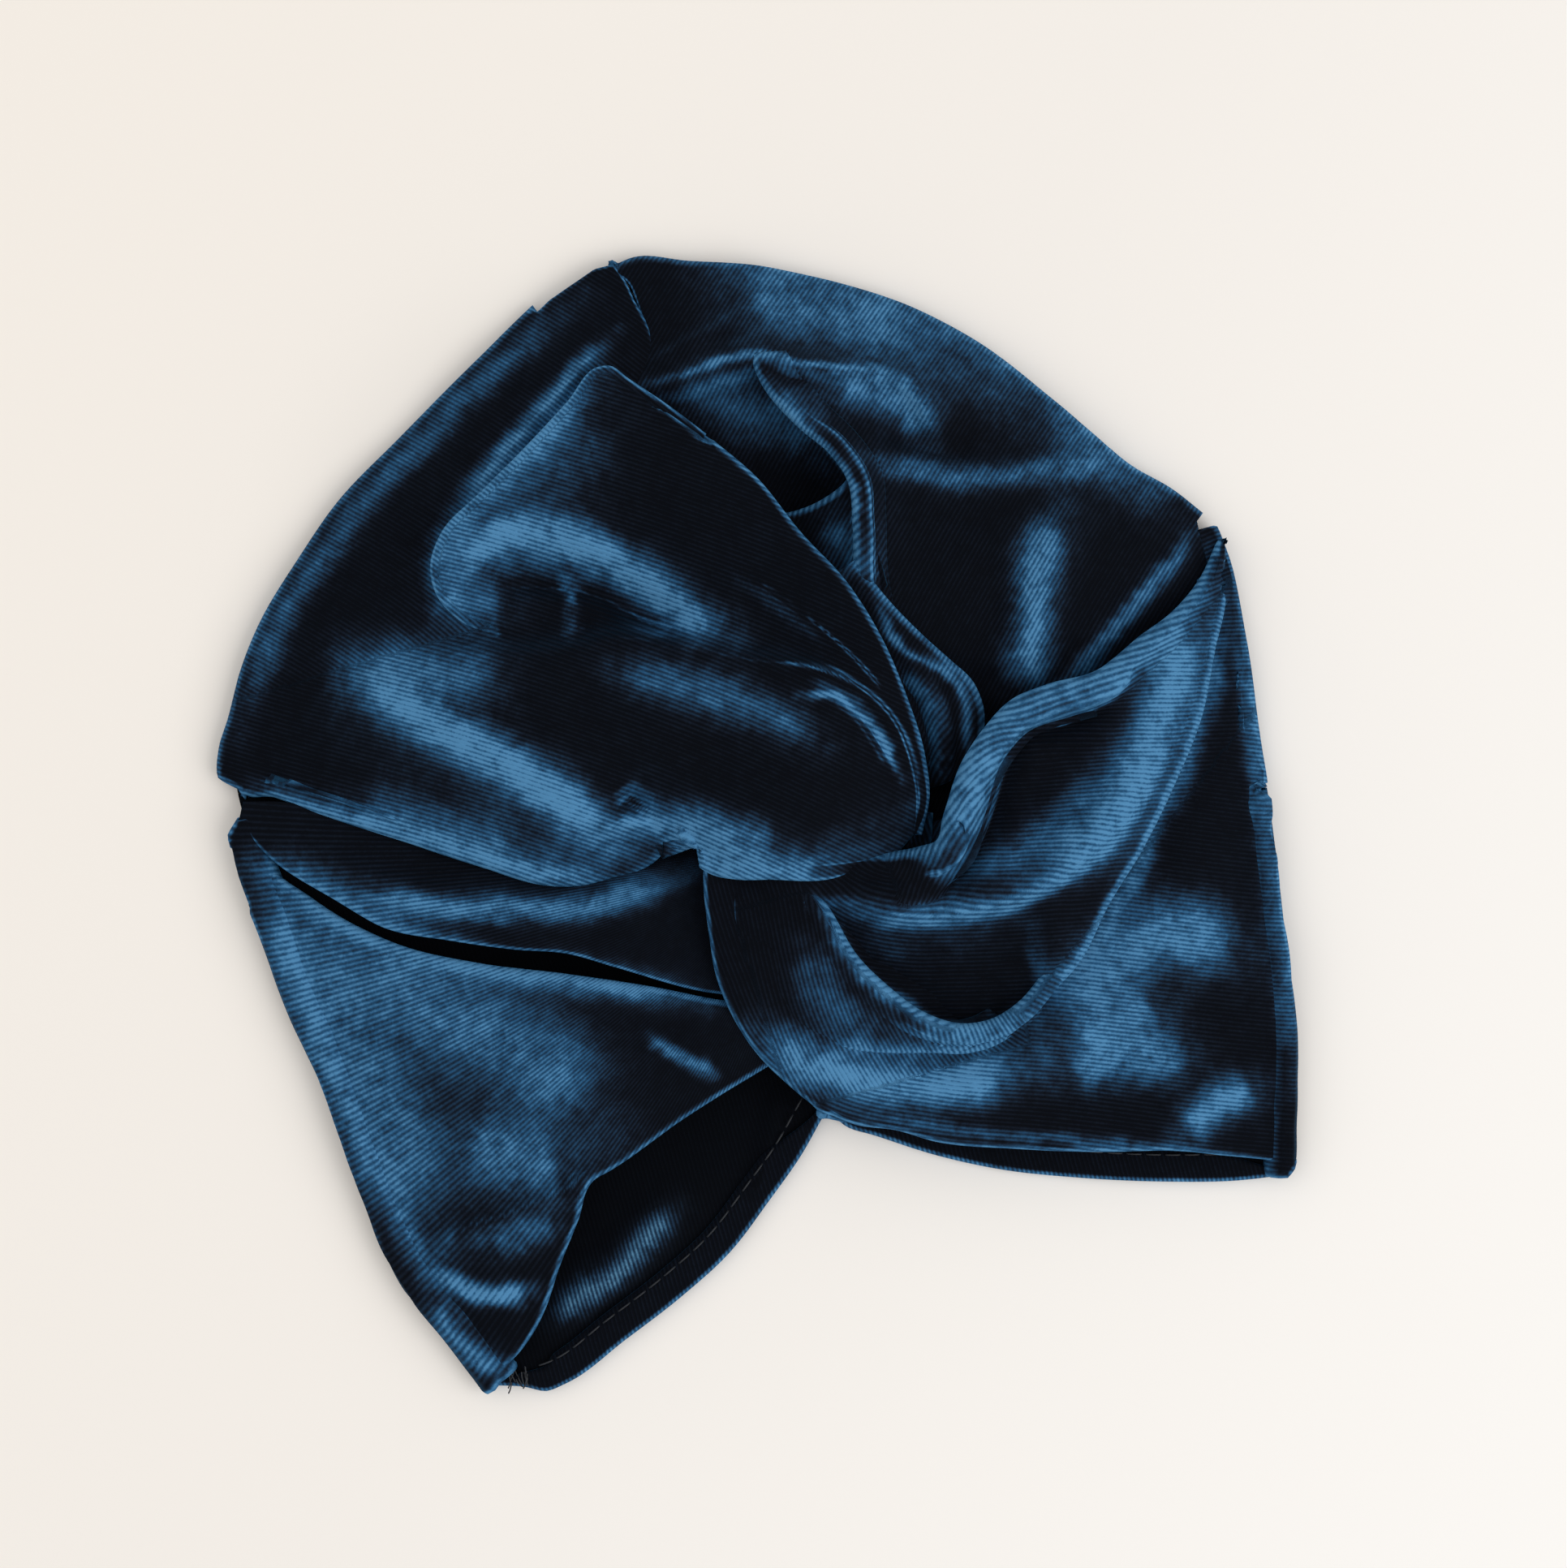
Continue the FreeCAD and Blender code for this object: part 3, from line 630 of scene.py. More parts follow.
    # The upper lobe stands over the crown's panel along a clean fold, from its foot round to the apex.
    fold = [(-50, 48), (-55.5, 53), (-59, 60), (-58.5, 67), (-54, 73.5), (-43.5, 79.5), (-31, 86.3),
            (-18, 94.2), (-9, 100), (-6.5, 99.6), (-3, 95.5), (3, 88.3), (10.6, 78.2)]
    behind = beside(fold, x, y)[0]
    low = panel(x, y) + crease(x, y, [(-4, 107), (-15, 100), (-26, 93), (-37, 85.5), (-48, 79)], 2.2, 3, 1.6)
    low += 0.3 * ripples(x, y, 22, 11)
    over = np.maximum(eased(1 - (behind + DROP_BACK) / DROP_RUN), eased((52 - y) / 7))
    z = low + (lobes(x, y) - low) * over
    grid = with_heights(flat, z)
    base = roll_side(grid, "start", OUTLINE_ROLL, tucked=3)
    radius = np.interp(np.arange(base.shape[0]), [0, 30, 90, base.shape[0] - 1], [2.2, 2.6, 3.2, 2.2])
    cloth = roll_side(base, "lower", radius, tucked=8, held=ROLL_ROWS)
    edge_radius = np.interp(np.arange(cloth.shape[0]), [0, 24, 34, cloth.shape[0] - 1], [0.8, 0.8, 1.8, 1.8])
    cloth = roll_side(cloth, "upper", edge_radius, tucked=5, held=ROLL_ROWS)
    inner = [(-40, 44), (-46, 53), (-49, 60), (-48.5, 65), (-45, 69), (-37, 73), (-26, 79), (-15, 85),
             (-9, 87), (-6, 86), (-4, 83), (0, 77), (6, 69)]
    cloth = kept_in(cloth, LEFT_CROWN[3:], "north", -20)
    lobe_edge = lapped_fold(inset(fold, -1.2), inner, lobes, 1.2)
    # Painted highlights: soft bands of painted sheen along the lobes, the fold edges and the outline, each
    # with its width and strength.
    painted_highlights = [
        ([(-58, 58), (-59, 64), (-54, 73.5), (-43.5, 79.5), (-31, 86.3), (-18, 94.2), (-8.5, 100)], 0.8, 0.6),
        ([(-8, 100), (3, 88.3), (10.6, 78.2), (19, 65), (25, 50.5)], 0.5, 0.35),
        ([(-3, 108), (-15, 101), (-26, 94), (-38, 86), (-50, 78)], 2.4, 0.5),
        ([(-9, 99), (-18, 93), (-33, 83.5), (-45, 77), (-54, 71), (-57, 62)], 3.6, 0.6),
        ([(-12, 90), (-28, 78), (-42, 72)], 10, 0.3),
        ([(-57, 60), (-52, 66), (-40, 68.5), (-29, 65), (-19.5, 58.5), (-11, 49), (-3.5, 38.5),
          (4, 32)], 4.6, 1.0),
        ([(-56, 62), (-51, 56), (-45, 53)], 7, 0.5),
        ([(-28, 57), (-30, 49), (-32, 42)], 1.4, 0.22),
        ([(-83, 51), (-76, 42), (-63, 27), (-50, 14), (-39, 1), (-33, -8)], 5.5, 1.0),
        ([(-80, 50), (-62, 42), (-50, 36)], 7, 0.5),
        ([(-25, 33), (-10, 24), (4, 15), (17, 3)], 5, 0.45),
        ([(-112, 29), (-100, 21), (-83, 10), (-66, 0), (-53, -8), (-42, -11), (-32, -10)], 3, 0.8),
        ([(-92, 20), (-72, 8), (-55, -1)], 6, 0.45),
        ([(-23, -5), (-18, -12), (-10, -18), (0, -23), (10, -25)], 4, 0.85),
        ([(-22, -4), (-12, -10), (0, -16)], 5, 0.6),
        ([(-33, -1), (-27, -3), (-23, -6)], 2.2, 0.9),
        ([(15, 15.5), (21, 13.4), (27, 6.4), (30.3, -1), (32, -9)], 1.1, 0.9),
        ([(-113, 42), (-97, 64), (-76, 82), (-35, 106), (-8, 119)], 3.5, 0.4),
    ]
    lobe_ribs = along_ribs([(-140, 78), (-100, 52), (-60, 28), (-20, 0), (40, -52)])
    panel_ribs = along_ribs([(-120, 60), (-92, 30), (-70, -20), (-60, -50)])

    def guide(x, y):
        hidden = (beside(fold, x, y)[0] + 2 > 0) & (y > 50)
        return np.where(hidden, panel_ribs(x, y), lobe_ribs(x, y))

    lined("left_crown_wrap", ["left_crown_arm"], [cloth, lobe_edge], painted_highlights, guide, (0.22, 0.16), 0.0235,
          ["left_crown_arm_lining"], [base[14:-2, 4:-3]], (0.2, 0.13), 0.0155)


left_crown_arm()


# ---- the right crown arm

def right_crown_arm():
    side = inset(RIGHT_CROWN, -OUTLINE_ROLL)[::-1]
    lower = [tuple(side[0]), (113, 12), (98, 0), (80, -6), (66, -7), (56, -12), (48, -22), (42, -30),
             (30, -30)]
    upper = [tuple(side[-1]), (3.2, 119), (4.2, 113), (4, 106), (-2, 97), (-3, 88), (2, 76), (10, 60),
             (17, 42), (22, 20), (24, -5), (26, -22)]
    flat = cloth_between(lower, upper, 170, 180, start=side)
    x, y = flat[..., 0], flat[..., 1]
    spread = smooth_heights([
        (2, 120, 6.6), (18, 116, 6.6), (44, 105, 6.6), (75, 82, 6.6), (103, 44, 6.6), (113, 33, 6.6),
        (8, 108, 9.5), (25, 105, 12), (5, 99, 11), (45, 92, 13), (70, 75, 11), (90, 52, 10.5), (4, 95, 13),
        (14, 94, 16), (25, 93, 19.5), (28, 86, 20.5), (31, 79, 22), (37, 68, 23.5), (40, 59, 24.5),
        (38, 49, 25), (35, 36, 24), (22, 99, 14), (20, 80, 20), (25, 60, 24), (45, 76, 17), (50, 62, 16),
        (57, 77, 14), (60, 66, 13), (70, 56, 13), (45, 40, 19), (55, 25, 18), (60, 45, 16), (80, 38, 15),
        (65, 5, 16), (85, 14, 13), (100, 32, 10.5), (50, 8, 17), (44, -8, 16), (36, -20, 15), (110, 20, 7.5),
        (95, 2, 8), (75, -5, 11), (55, -10, 13), (36, 10, 20), (28, -20, 15), (24, 20, 18),
    ])
    pocket = smooth_heights([
        (0, 95, 12), (14, 94, 16), (27, 93, 19), (8, 84, 11.5), (20, 84, 13), (28, 84, 15), (18, 72, 10.5),
        (28, 72, 11), (36, 68, 12), (24, 62, 7.5), (33, 61, 8), (40, 62, 12), (20, 50, 8), (30, 45, 9),
        (36, 38, 13), (4, 70, 11), (30, 22, 14), (24, 0, 14), (28, -20, 14), (-4, 84, 10), (12, 56, 9)])

    def wrap(x, y):
        z = creased(x, y, spread(x, y), [
            ([(26, 93), (35.7, 87.6), (47.5, 83), (57, 78.5), (60, 74), (61, 68), (60, 62)], 4.0, 4, 2.4),
            ([(46, 68), (59, 58), (72, 53), (85, 50), (104, 48)], 1.6, 2.5, 4),
            ([(48, 71), (58, 63), (70, 57)], -1.4, 4, 4),
            ([(63, -4), (69, 12), (79, 29), (92, 44)], 2.6, 6, 6),
            ([(55, 2), (60, 18), (70, 34)], -1.8, 6, 6),
            ([(70, -3), (85, 9), (102, 20), (114, 27)], 1.8, 2, 3),
            ([(0, 97.5), (13, 101), (33, 105)], 1.0, 1.6, 2.4),
        ])
        return z + 0.35 * ripples(x, y, 20, 21) + 0.12 * ripples(x, y, 8, 22)

    # West of this fold the wrap drops into a pocket beside the over-wrap.
    fold = [(26.2, 92.5), (27.2, 86), (32.1, 75), (37.6, 66.6), (39.8, 59.5), (38.2, 49), (35, 36),
            (34.5, 22)]
    east = beside(fold, x, y)[0]
    sunk = eased((DROP_BACK - east - 0.2) / DROP_RUN) * eased((94 - y) / 6.5)
    z = wrap(x, y)
    z += (pocket(x, y) - z) * sunk
    grid = with_heights(flat, z)
    main = roll_side(grid, "start", OUTLINE_ROLL, tucked=3)
    main = roll_side(main, "upper", 0.7, tucked=2, held=ROLL_ROWS)
    fold_edge = lapped_fold(inset(fold, 1.1)[::-1], [(41, 22), (41, 36), (44, 49), (46, 59), (43, 69),
                                                     (38, 78),
                                                     (34.5, 87), (33, 91)], wrap, 1.1)

    # The flap at the bottom of the pocket.
    flap_top = [(19, 56.5), (24, 55.5), (32, 56), (38, 58), (41, 60)]
    flap_low = [(24, 32), (29, 30), (34, 30), (38, 31), (41, 34)]
    flap_flat = cloth_between(flap_low, inset(flap_top, -1.0), 40, 36)
    fx, fy = flap_flat[..., 0], flap_flat[..., 1]
    flap = with_heights(flap_flat, smooth_heights([
        (19, 56, 12), (24, 55, 13), (32, 55, 15.5), (40, 58, 20), (28, 42, 17), (36, 44, 20), (26, 32, 18),
        (38, 32, 21), (24, 46, 14)])(fx, fy))
    flap = roll_side(flap, "upper", 1.0, tucked=4)

    # The pleat that runs down beside the over-wrap into the knot.
    outer = [(32, 40), (36.5, 29), (42.5, 18), (47, 11), (50, 6), (50.5, 2), (48.5, -5), (46, -11)]
    inner = [(26, 38), (28, 28), (30, 18), (32, 6), (33, -6), (34, -14)]
    pleat_flat = cloth_between(inner, inset(outer, 1.4), 70, 26)
    px, py = pleat_flat[..., 0], pleat_flat[..., 1]
    pz = smooth_heights([(29, 43, 23), (33, 33, 24), (40, 18, 24), (48, 4, 22), (44, -10, 20), (31, 15, 22),
                         (33, -6, 20), (36, -14, 18)])(px, py)
    pz = creased(px, py, pz, [
        ([(40, 18), (44, 8), (44, -4), (40, -14)], 1.2, 1.5, 1.5),
        ([(37, 16), (40, 6), (40, -4), (37, -14)], -1.2, 1.5, 1.5),
    ])
    pleat = roll_side(with_heights(pleat_flat, pz), "upper", 1.4, tucked=3)
    # Painted highlights: soft bands of painted sheen along the folds, the pocket and the outline, each with
    # its width and strength.
    painted_highlights = [
        ([(24, 107), (36, 103), (48, 97), (62, 86)], 8, 0.6),
        ([(40, 81), (50, 78), (57, 73), (59, 64)], 4.5, 0.75),
        ([(0.5, 94.2), (13.6, 94), (25, 93.2), (36, 88.4), (48, 83.6), (58, 78.5)], 1.1, 0.65),
        ([(26.2, 92), (27.2, 86), (32.1, 75), (37.6, 66.6), (39.8, 59.5), (38.2, 49), (35, 36)], 0.6, 0.6),
        ([(6, 92), (14, 88), (22, 80), (28, 76)], 6, 0.35),
        ([(28, 84), (30, 78), (34, 70)], 5, 0.35),
        ([(33, 52), (35, 44), (34, 36)], 4, 0.4),
        ([(84, 40), (76, 30), (70, 14), (66, 1)], 4.5, 0.8),
        ([(42, 64), (60, 55), (82, 50), (103, 47)], 3, 0.5),
        ([(86, 60), (100, 48), (112, 35)], 8, 0.35),
        ([(72, -1), (85, 8), (102, 19), (115, 28)], 2, 0.55),
        ([(17, 118), (44, 107), (75, 84), (103, 46)], 3.5, 0.4),
        ([(36, 32), (40, 22), (46, 14), (50, 5), (48, -8)], 1.2, 0.6),
        ([(40, 16), (43, 6), (43, -6)], 1.8, 0.4),
        ([(55, 90), (70, 78), (85, 62)], 7, 0.25),
    ]
    guide = along_ribs([(-40, -75), (10, -6), (40, 28), (75, 62), (120, 98)])
    lined("right_crown_wrap", ["right_crown_arm"], [main, pleat, fold_edge, flap], painted_highlights, guide, (0.19,
                                                                                                    0.13),
                                                                                                    0.017,
          ["right_crown_arm_lining"], [main[14:-2, 4:-3]], (0.17, 0.12), 0.0115)


right_crown_arm()


# ---- the left hem arm, under the knot

def left_hem_arm():
    lap_top = [(-119, 19), (-111, 7), (-101, -5), (-89, -15), (-72, -24), (-55, -31), (-37, -39), (-21, -47),
               (-6, -53)]
    side = inset(LEFT_SIDE[1:], OUTLINE_ROLL)[::-1]
    hem = inset(LEFT_FRONT_HEM, HEM_ROLL)
    top = inset(lap_top, -2.6)
    top[0] = side[-1]
    hem[0] = side[0]
    flat = cloth_between(hem, top, 150, 140, start=side)
    x, y = flat[..., 0], flat[..., 1]
    z = smooth_heights([
        (-116, 14, 6.8), (-115, -10, 6.6), (-111, -45, 6.6), (-108, -75, 6.6), (-103, -98, 6.6),
        (-96, -116, 6), (-109, 4, 9), (-99, -8, 11), (-87, -17, 13.5), (-70, -27, 16), (-53, -34, 17.5),
        (-35, -42, 18), (-19, -50, 18), (-95, -35, 13), (-80, -45, 16.5), (-60, -52, 18.5), (-40, -58, 18),
        (-20, -60, 16.5), (-95, -70, 12), (-80, -68, 15), (-62, -72, 16.5), (-38, -68, 16), (-15, -62, 15),
        (-84, -90, 12), (-72, -90, 14), (-80, -102, 11.5), (-90, -110, 9), (-95, -92, 8),
    ])(x, y)
    z = creased(x, y, z, [
        ([(-56, -77), (-66, -79.5), (-83, -82), (-95, -83), (-104, -87)], 2.6, 7, 2.2),
        ([(-64, -83), (-83, -86), (-98, -88)], -1.6, 3, 4),
        ([(-103, -91), (-96, -97), (-86, -99)], 1.5, 2.5, 2.5),
        ([(-112, -30), (-95, -48), (-70, -58), (-50, -64)], 1.8, 8, 8),
        ([(-108, -55), (-90, -68), (-74, -72)], -1.4, 7, 7),
        ([(-42, -48), (-35, -56), (-26, -65)], 1.4, 2.2, 2.2),
        ([(-92, -22), (-70, -36), (-45, -46)], -1.2, 6, 6),
    ])
    z += 0.4 * ripples(x, y, 24, 31) + 0.15 * ripples(x, y, 9, 32)
    grid = with_heights(flat, z)
    base = roll_side(grid, "start", OUTLINE_ROLL, tucked=3)
    rows = np.arange(base.shape[0])
    lap = roll_side(base, "lower", np.interp(rows, [12, 40], [0.8, HEM_ROLL]), tucked=6, held=ROLL_ROWS)
    lap = roll_side(lap, "upper", np.interp(rows, [12, 40], [0.7, 2.4]), tucked=9, held=ROLL_ROWS)

    # The pleat above the lap, whose lower edge leaves a dark slit.
    pleat_low = [(-119, 23), (-113, 12), (-101, -1), (-92, -10), (-78, -17), (-64, -23), (-53, -27),
                 (-43, -33), (-25, -44), (-10, -50)]
    pleat_top = [(-116, 27), (-106, 24), (-92, 15), (-76, 4), (-60, -4), (-42, -7), (-24, -4), (-6, -6)]
    pleat_flat = cloth_between(inset(pleat_low, 1.3), pleat_top, 120, 44)
    px, py = pleat_flat[..., 0], pleat_flat[..., 1]
    pz = smooth_heights([
        (-117, 24, 7.2), (-108, 12, 9), (-97, 2, 11.5), (-84, -10, 13.5), (-68, -18, 15.5), (-50, -24, 17),
        (-30, -36, 17.5), (-12, -44, 17), (-106, 20, 9), (-90, 8, 11), (-70, -2, 12), (-45, -8, 12),
        (-20, -6, 11), (-8, -18, 14), (-60, -13, 16.5), (-35, -18, 18),
    ])(px, py)
    pz = creased(px, py, pz, [
        ([(-112, 20), (-98, 6), (-82, -4), (-65, -11), (-50, -15), (-35, -16), (-18, -15)], 2.2, 3.5, 5),
        ([(-100, 0), (-80, -12), (-60, -19)], -1.2, 2.5, 2.5),
    ])
    pz += 0.2 * ripples(px, py, 14, 33)
    pleat = roll_side(with_heights(pleat_flat, pz), "lower", 1.3, tucked=6)
    # Painted highlights: soft bands of painted sheen on the lap, the pleat and the outline, each with its
    # width and strength.
    painted_highlights = [
        ([(-117, 14), (-108, 3), (-98, -8), (-75, -23), (-49, -34), (-25, -46)], 3.5, 0.9),
        ([(-114, 5), (-110, -20), (-104, -50), (-100, -80)], 12, 0.6),
        ([(-100, -10), (-85, -30), (-66, -50), (-58, -66)], 12, 0.62),
        ([(-88, -62), (-76, -70), (-66, -72)], 9, 0.6),
        ([(-105, -90), (-97, -96), (-88, -99), (-82, -100)], 2.4, 0.95),
        ([(-106, -98), (-98, -112), (-94, -118)], 3, 0.7),
        ([(-88, -88), (-72, -86)], 3.5, 0.45),
        ([(-95, -1), (-82, -7), (-65, -13), (-50, -17), (-33, -18), (-20, -16)], 3, 0.75),
        ([(-112, 10), (-98, -3), (-84, -12)], 4, 0.4),
        ([(-40, -50), (-34, -57), (-28, -63)], 1.4, 0.7),
        ([(-116, 10), (-113, -30), (-108, -70), (-103, -98)], 3, 0.55),
    ]

    def guide(x, y):
        # The ribs draw together towards the knot.
        return 95 * np.arctan2(y + 20, 12 - x)

    lap = kept_in(lap, LEFT_SIDE[1:], "west", 2)
    lined("left_hem_wrap", ["left_hem_arm"], [lap, pleat], painted_highlights, guide, (0.19, 0.15), 0.0175,
          ["left_hem_arm_lining"], [base[14:-2, 2:-3]], (0.13, 0.1), 0.0068)


left_hem_arm()


# ---- the right hem arm, over the knot

def right_hem_arm():
    side = inset(RIGHT_SIDE, -OUTLINE_ROLL)[::-1]
    hem = inset(RIGHT_FRONT_HEM, -HEM_ROLL)
    turn = [(-5, -79), (-7, -77), (-12, -70), (-17, -61), (-20, -51), (-21, -42), (-20, -32), (-18, -20),
            (-14, -8)]
    knot_side = inset(turn, -1.8)
    hem[0] = side[0]
    hem[-1] = knot_side[0]
    under = [tuple(side[-1]), (108, 10), (94, -2), (80, -8), (62, -12), (48, -20), (30, -20), (10, -14),
             tuple(knot_side[-1])]
    flat = cloth_between(hem, under, 160, 150, start=side, end=knot_side)
    x, y = flat[..., 0], flat[..., 1]
    z = smooth_heights([
        (113, 24, 6.8), (114, 0, 6.8), (111, -25, 6.8), (106, -60, 6.8), (101, -90, 6.8), (95, -114, 6.2),
        (80, -111, 9.5), (60, -104, 11.5), (40, -98, 13), (20, -90, 14.5), (5, -83, 15), (-4, -74, 16),
        (-14, -60, 18), (-18, -45, 21), (-17, -30, 22.5), (-13, -18, 22), (-5, -40, 22.5), (2, -34, 22),
        (4, -50, 20), (10, -64, 18), (-2, -62, 19), (20, -76, 15.5), (40, -80, 15), (60, -74, 15),
        (80, -58, 14.5), (95, -40, 12), (103, -15, 9.5), (98, -70, 10.5), (85, -85, 10.5), (60, -90, 12),
        (35, -60, 15), (55, -40, 15), (80, -20, 12), (30, -35, 17), (10, -20, 20), (50, -20, 15), (95, 0, 9),
        (75, -10, 12),
    ])(x, y)
    z = creased(x, y, z, [
        ([(-14, -58), (-4, -68), (12, -78), (32, -84), (50, -84)], 1.6, 5, 5),
        ([(40, -92), (62, -86), (82, -80), (98, -72)], -1.4, 6, 6),
        ([(60, -72), (80, -66), (97, -66)], 1.4, 6, 6),
        ([(66, -104), (80, -100), (92, -104)], 1.0, 5, 5),
    ])
    z += 0.4 * ripples(x, y, 24, 41) + 0.15 * ripples(x, y, 9, 42)
    grid = with_heights(flat, z)
    base = roll_side(grid, "start", OUTLINE_ROLL, tucked=3)
    rows = np.arange(base.shape[0])
    panel = roll_side(base, "lower", np.interp(rows, [12, 40], [0.8, HEM_ROLL]), tucked=6, held=ROLL_ROWS)
    panel = roll_side(panel, "end", 1.8, tucked=8)

    # The puffed fold that comes out of the knot and lies over the panel.
    low = [(-10, -16), (-14, -28), (-15, -40), (-13, -51), (-6, -60), (3, -66), (12, -69.5), (21, -72),
           (30, -74.3), (38, -73.5), (45, -70.3), (52, -65), (60, -59), (69, -49), (79, -40), (93, -25),
           (102, -14), (110, 0), (116, 10), (118.5, 19)]
    high = [(-8, -14), (8, -19), (18, -24), (26, -26), (31, -26.5), (36, -26), (40, -20), (47, -10),
            (54, -4), (61, 0), (69, 1), (81, 1), (94, 6), (103, 10), (111, 16), (118, 25)]
    puff_flat = cloth_between(inset(low, 2), inset(high, -2.6), 210, 120)
    px, py = puff_flat[..., 0], puff_flat[..., 1]
    swept = smooth_heights([
        (-10, -18, 20.2), (-14, -28, 20.6), (-15, -40, 19.3), (-13, -51, 17.5), (-6, -60, 17.2),
        (3, -66, 17), (12, -69.5, 16.9), (21, -72, 16.5), (30, -74.3, 17.2), (38, -73.5, 18.2),
        (45, -70.3, 19.6), (52, -65, 21), (60, -59, 21.8), (79, -40, 20.5), (95, -20, 16), (108, -1, 11.5),
        (0, -24, 23), (-2, -40, 22.8), (3, -54, 21.5), (12, -63, 20.5), (6, -30, 24.2), (8, -38, 24.4),
        (10, -46, 24.4), (15, -55, 24), (22, -63, 23.2), (30, -68.3, 22.4), (37.5, -69, 22), (45, -66.5, 22),
        (12, -25, 24), (20, -27, 24.5), (30, -28, 26), (38, -24, 28), (47, -14, 29), (56, -6, 28.5),
        (68, -2, 27), (82, -1, 23), (95, 4, 18), (105, 9, 13.5), (116, 20, 8.5), (24, -38, 25),
        (35, -40.5, 26), (46, -41, 26), (60, -39, 26), (72, -33, 25), (60, -50, 24), (75, -28, 24),
        (90, -8, 20), (55, -22, 24), (70, -12, 23.5), (28, -52, 24), (42, -54, 24),
    ])
    pocket = smooth_heights([
        (8, -29, 23), (9, -34, 20.5), (13, -42, 18.5), (18, -50, 16.5), (25, -58, 15), (33, -64, 15),
        (42, -64, 16), (50, -60, 18.5), (58, -55, 21.5), (20, -42, 21.5), (30, -46, 21), (42, -47, 21.5),
        (54, -47, 23), (66, -43, 24), (12, -29, 24), (24, -38, 25), (35, -40.5, 26), (46, -41, 26),
        (60, -39, 26), (30, -28, 26), (50, -22, 25)])

    def folded(x, y):
        z = creased(x, y, swept(x, y), [
            ([(10, -26), (15.8, -33.8), (24, -38), (35, -40.5), (45.4, -41), (59, -39.4), (71, -33.7),
              (83, -25), (92, -17)], 2.6, 6, 2.4),
            ([(29, -28), (34, -29.5), (40, -25.5), (45, -19), (50, -11.5), (56, -5), (63, -2.6), (74, -2),
              (90, 2)], 3.8, 3.0, 3.2, 0.12),
            ([(22, -36), (28, -37.5), (33, -37.2), (41.4, -31.8), (49.4, -22), (54.5, -13), (60, -7),
              (72, -7), (88, -3)], -4.0, 3.2, 4),
            ([(56, -38), (72, -32), (86, -18), (98, -3), (110, 12)], 1.6, 5, 6),
        ])
        return z + 0.3 * ripples(x, y, 18, 43) + 0.12 * ripples(x, y, 8, 44)

    # The sweep rolls over into a pocket along this fold, which starts under the over-wrap's tip.
    fold = [(5, -22), (5.5, -28.3), (7.5, -35.4), (10, -45.3), (15.2, -54.7), (22, -63.2), (29.7, -68),
            (37.5, -68.9), (45, -66.5), (53, -61)]
    inside = beside(fold, px, py)[0]
    sunk = eased((inside + DROP_BACK) / DROP_RUN) * eased((57 - px) / 9)
    sunk *= eased((-28 - 0.2 * (px - 10) - py) / 5)
    pz = folded(px, py)
    pz += (pocket(px, py) - swept(px, py)) * sunk
    puff = with_heights(puff_flat, pz)
    rows = np.arange(puff.shape[0])
    puff = roll_side(puff, "lower", np.interp(rows, [75, 110, 165, 209], [0.2, 1.9, 1.9, 0.5]), tucked=6)
    puff = roll_side(puff, "upper", np.interp(rows, [165, 209], [2.6, 0.5]), tucked=6)
    inner_line = [(-3, -22), (-3, -29), (-1, -37), (1, -48), (6, -59), (14, -67.5), (25, -71.5), (35, -72.6),
                  (44, -69.5), (52, -64)]
    sweep_edge = lapped_fold(inset(fold, -1.3), inner_line, folded, 1.3)
    # Painted highlights: soft bands of painted sheen along the puff, the sweep's fold and the panel, each
    # with its width and strength.
    painted_highlights = [
        ([(6, -30), (8, -38), (11, -48), (17, -58), (25, -66), (34, -70), (44, -68)], 1.6, 0.75),
        ([(0, -62), (12, -68), (24, -71.5), (36, -72.5), (48, -67.5)], 2.2, 0.55),
        ([(14, -33), (24, -38.5), (36, -41.5), (50, -42), (64, -39), (78, -30), (92, -17)], 2.2, 0.6),
        ([(40, -34), (52, -33), (64, -28), (76, -20)], 4, 0.4),
        ([(36, -26), (42, -22), (48, -13), (55, -5), (63, -2), (82, -1), (103, 8), (117, 22)], 3.2, 0.65),
        ([(40, -24), (48, -14), (55, -7)], 4.0, 0.75),
        ([(54, -38), (70, -34), (84, -22), (97, -6), (107, 9)], 6, 0.85),
        ([(45, -70), (61, -61), (77, -45), (92, -28), (108, -5), (117, 16)], 3, 0.6),
        ([(-16, -57), (-6, -66), (8, -75), (24, -80), (44, -80)], 5.5, 0.95),
        ([(50, -72), (66, -64), (82, -60), (97, -70)], 8, 0.78),
        ([(50, -84), (64, -86), (80, -88)], 6, 0.7),
        ([(72, -106), (82, -102), (92, -101)], 4.5, 0.85),
        ([(56, -80), (75, -76)], 7, 0.6),
        ([(0, -40), (4, -56), (12, -66)], 5, 0.35),
        ([(118, 10), (114, -25), (108, -65), (101, -105)], 3, 0.5),
        ([(-4, -78), (10, -85), (35, -96), (60, -105), (85, -115)], 1.6, 0.4),
    ]
    valley = smooth_line([(20, -33), (24.2, -36.8), (33, -38), (41.4, -31.8), (49.4, -22.2), (54.5, -13.2),
                          (58.8, -6.5), (66, -5), (80, -6), (96, 0), (115, 12)], 90)
    tube_ribs = along_ribs([(20, -42), (38, -22), (46, -14.5), (53, -10.5), (64, -9), (84, -8), (120, -3)])
    pocket_ribs = along_ribs([(2, -14), (8, -25), (15, -33.5), (25, -39), (35, -42), (60, -48), (120, -62)])
    band_ribs = along_ribs([(14, -20), (14, -62), (22, -84), (42, -102), (100, -128)])
    panel_ribs = along_ribs([(-10, 12), (-10, -42), (-8, -55), (2, -68), (22, -79), (45, -88), (80, -103),
                             (120, -119)])

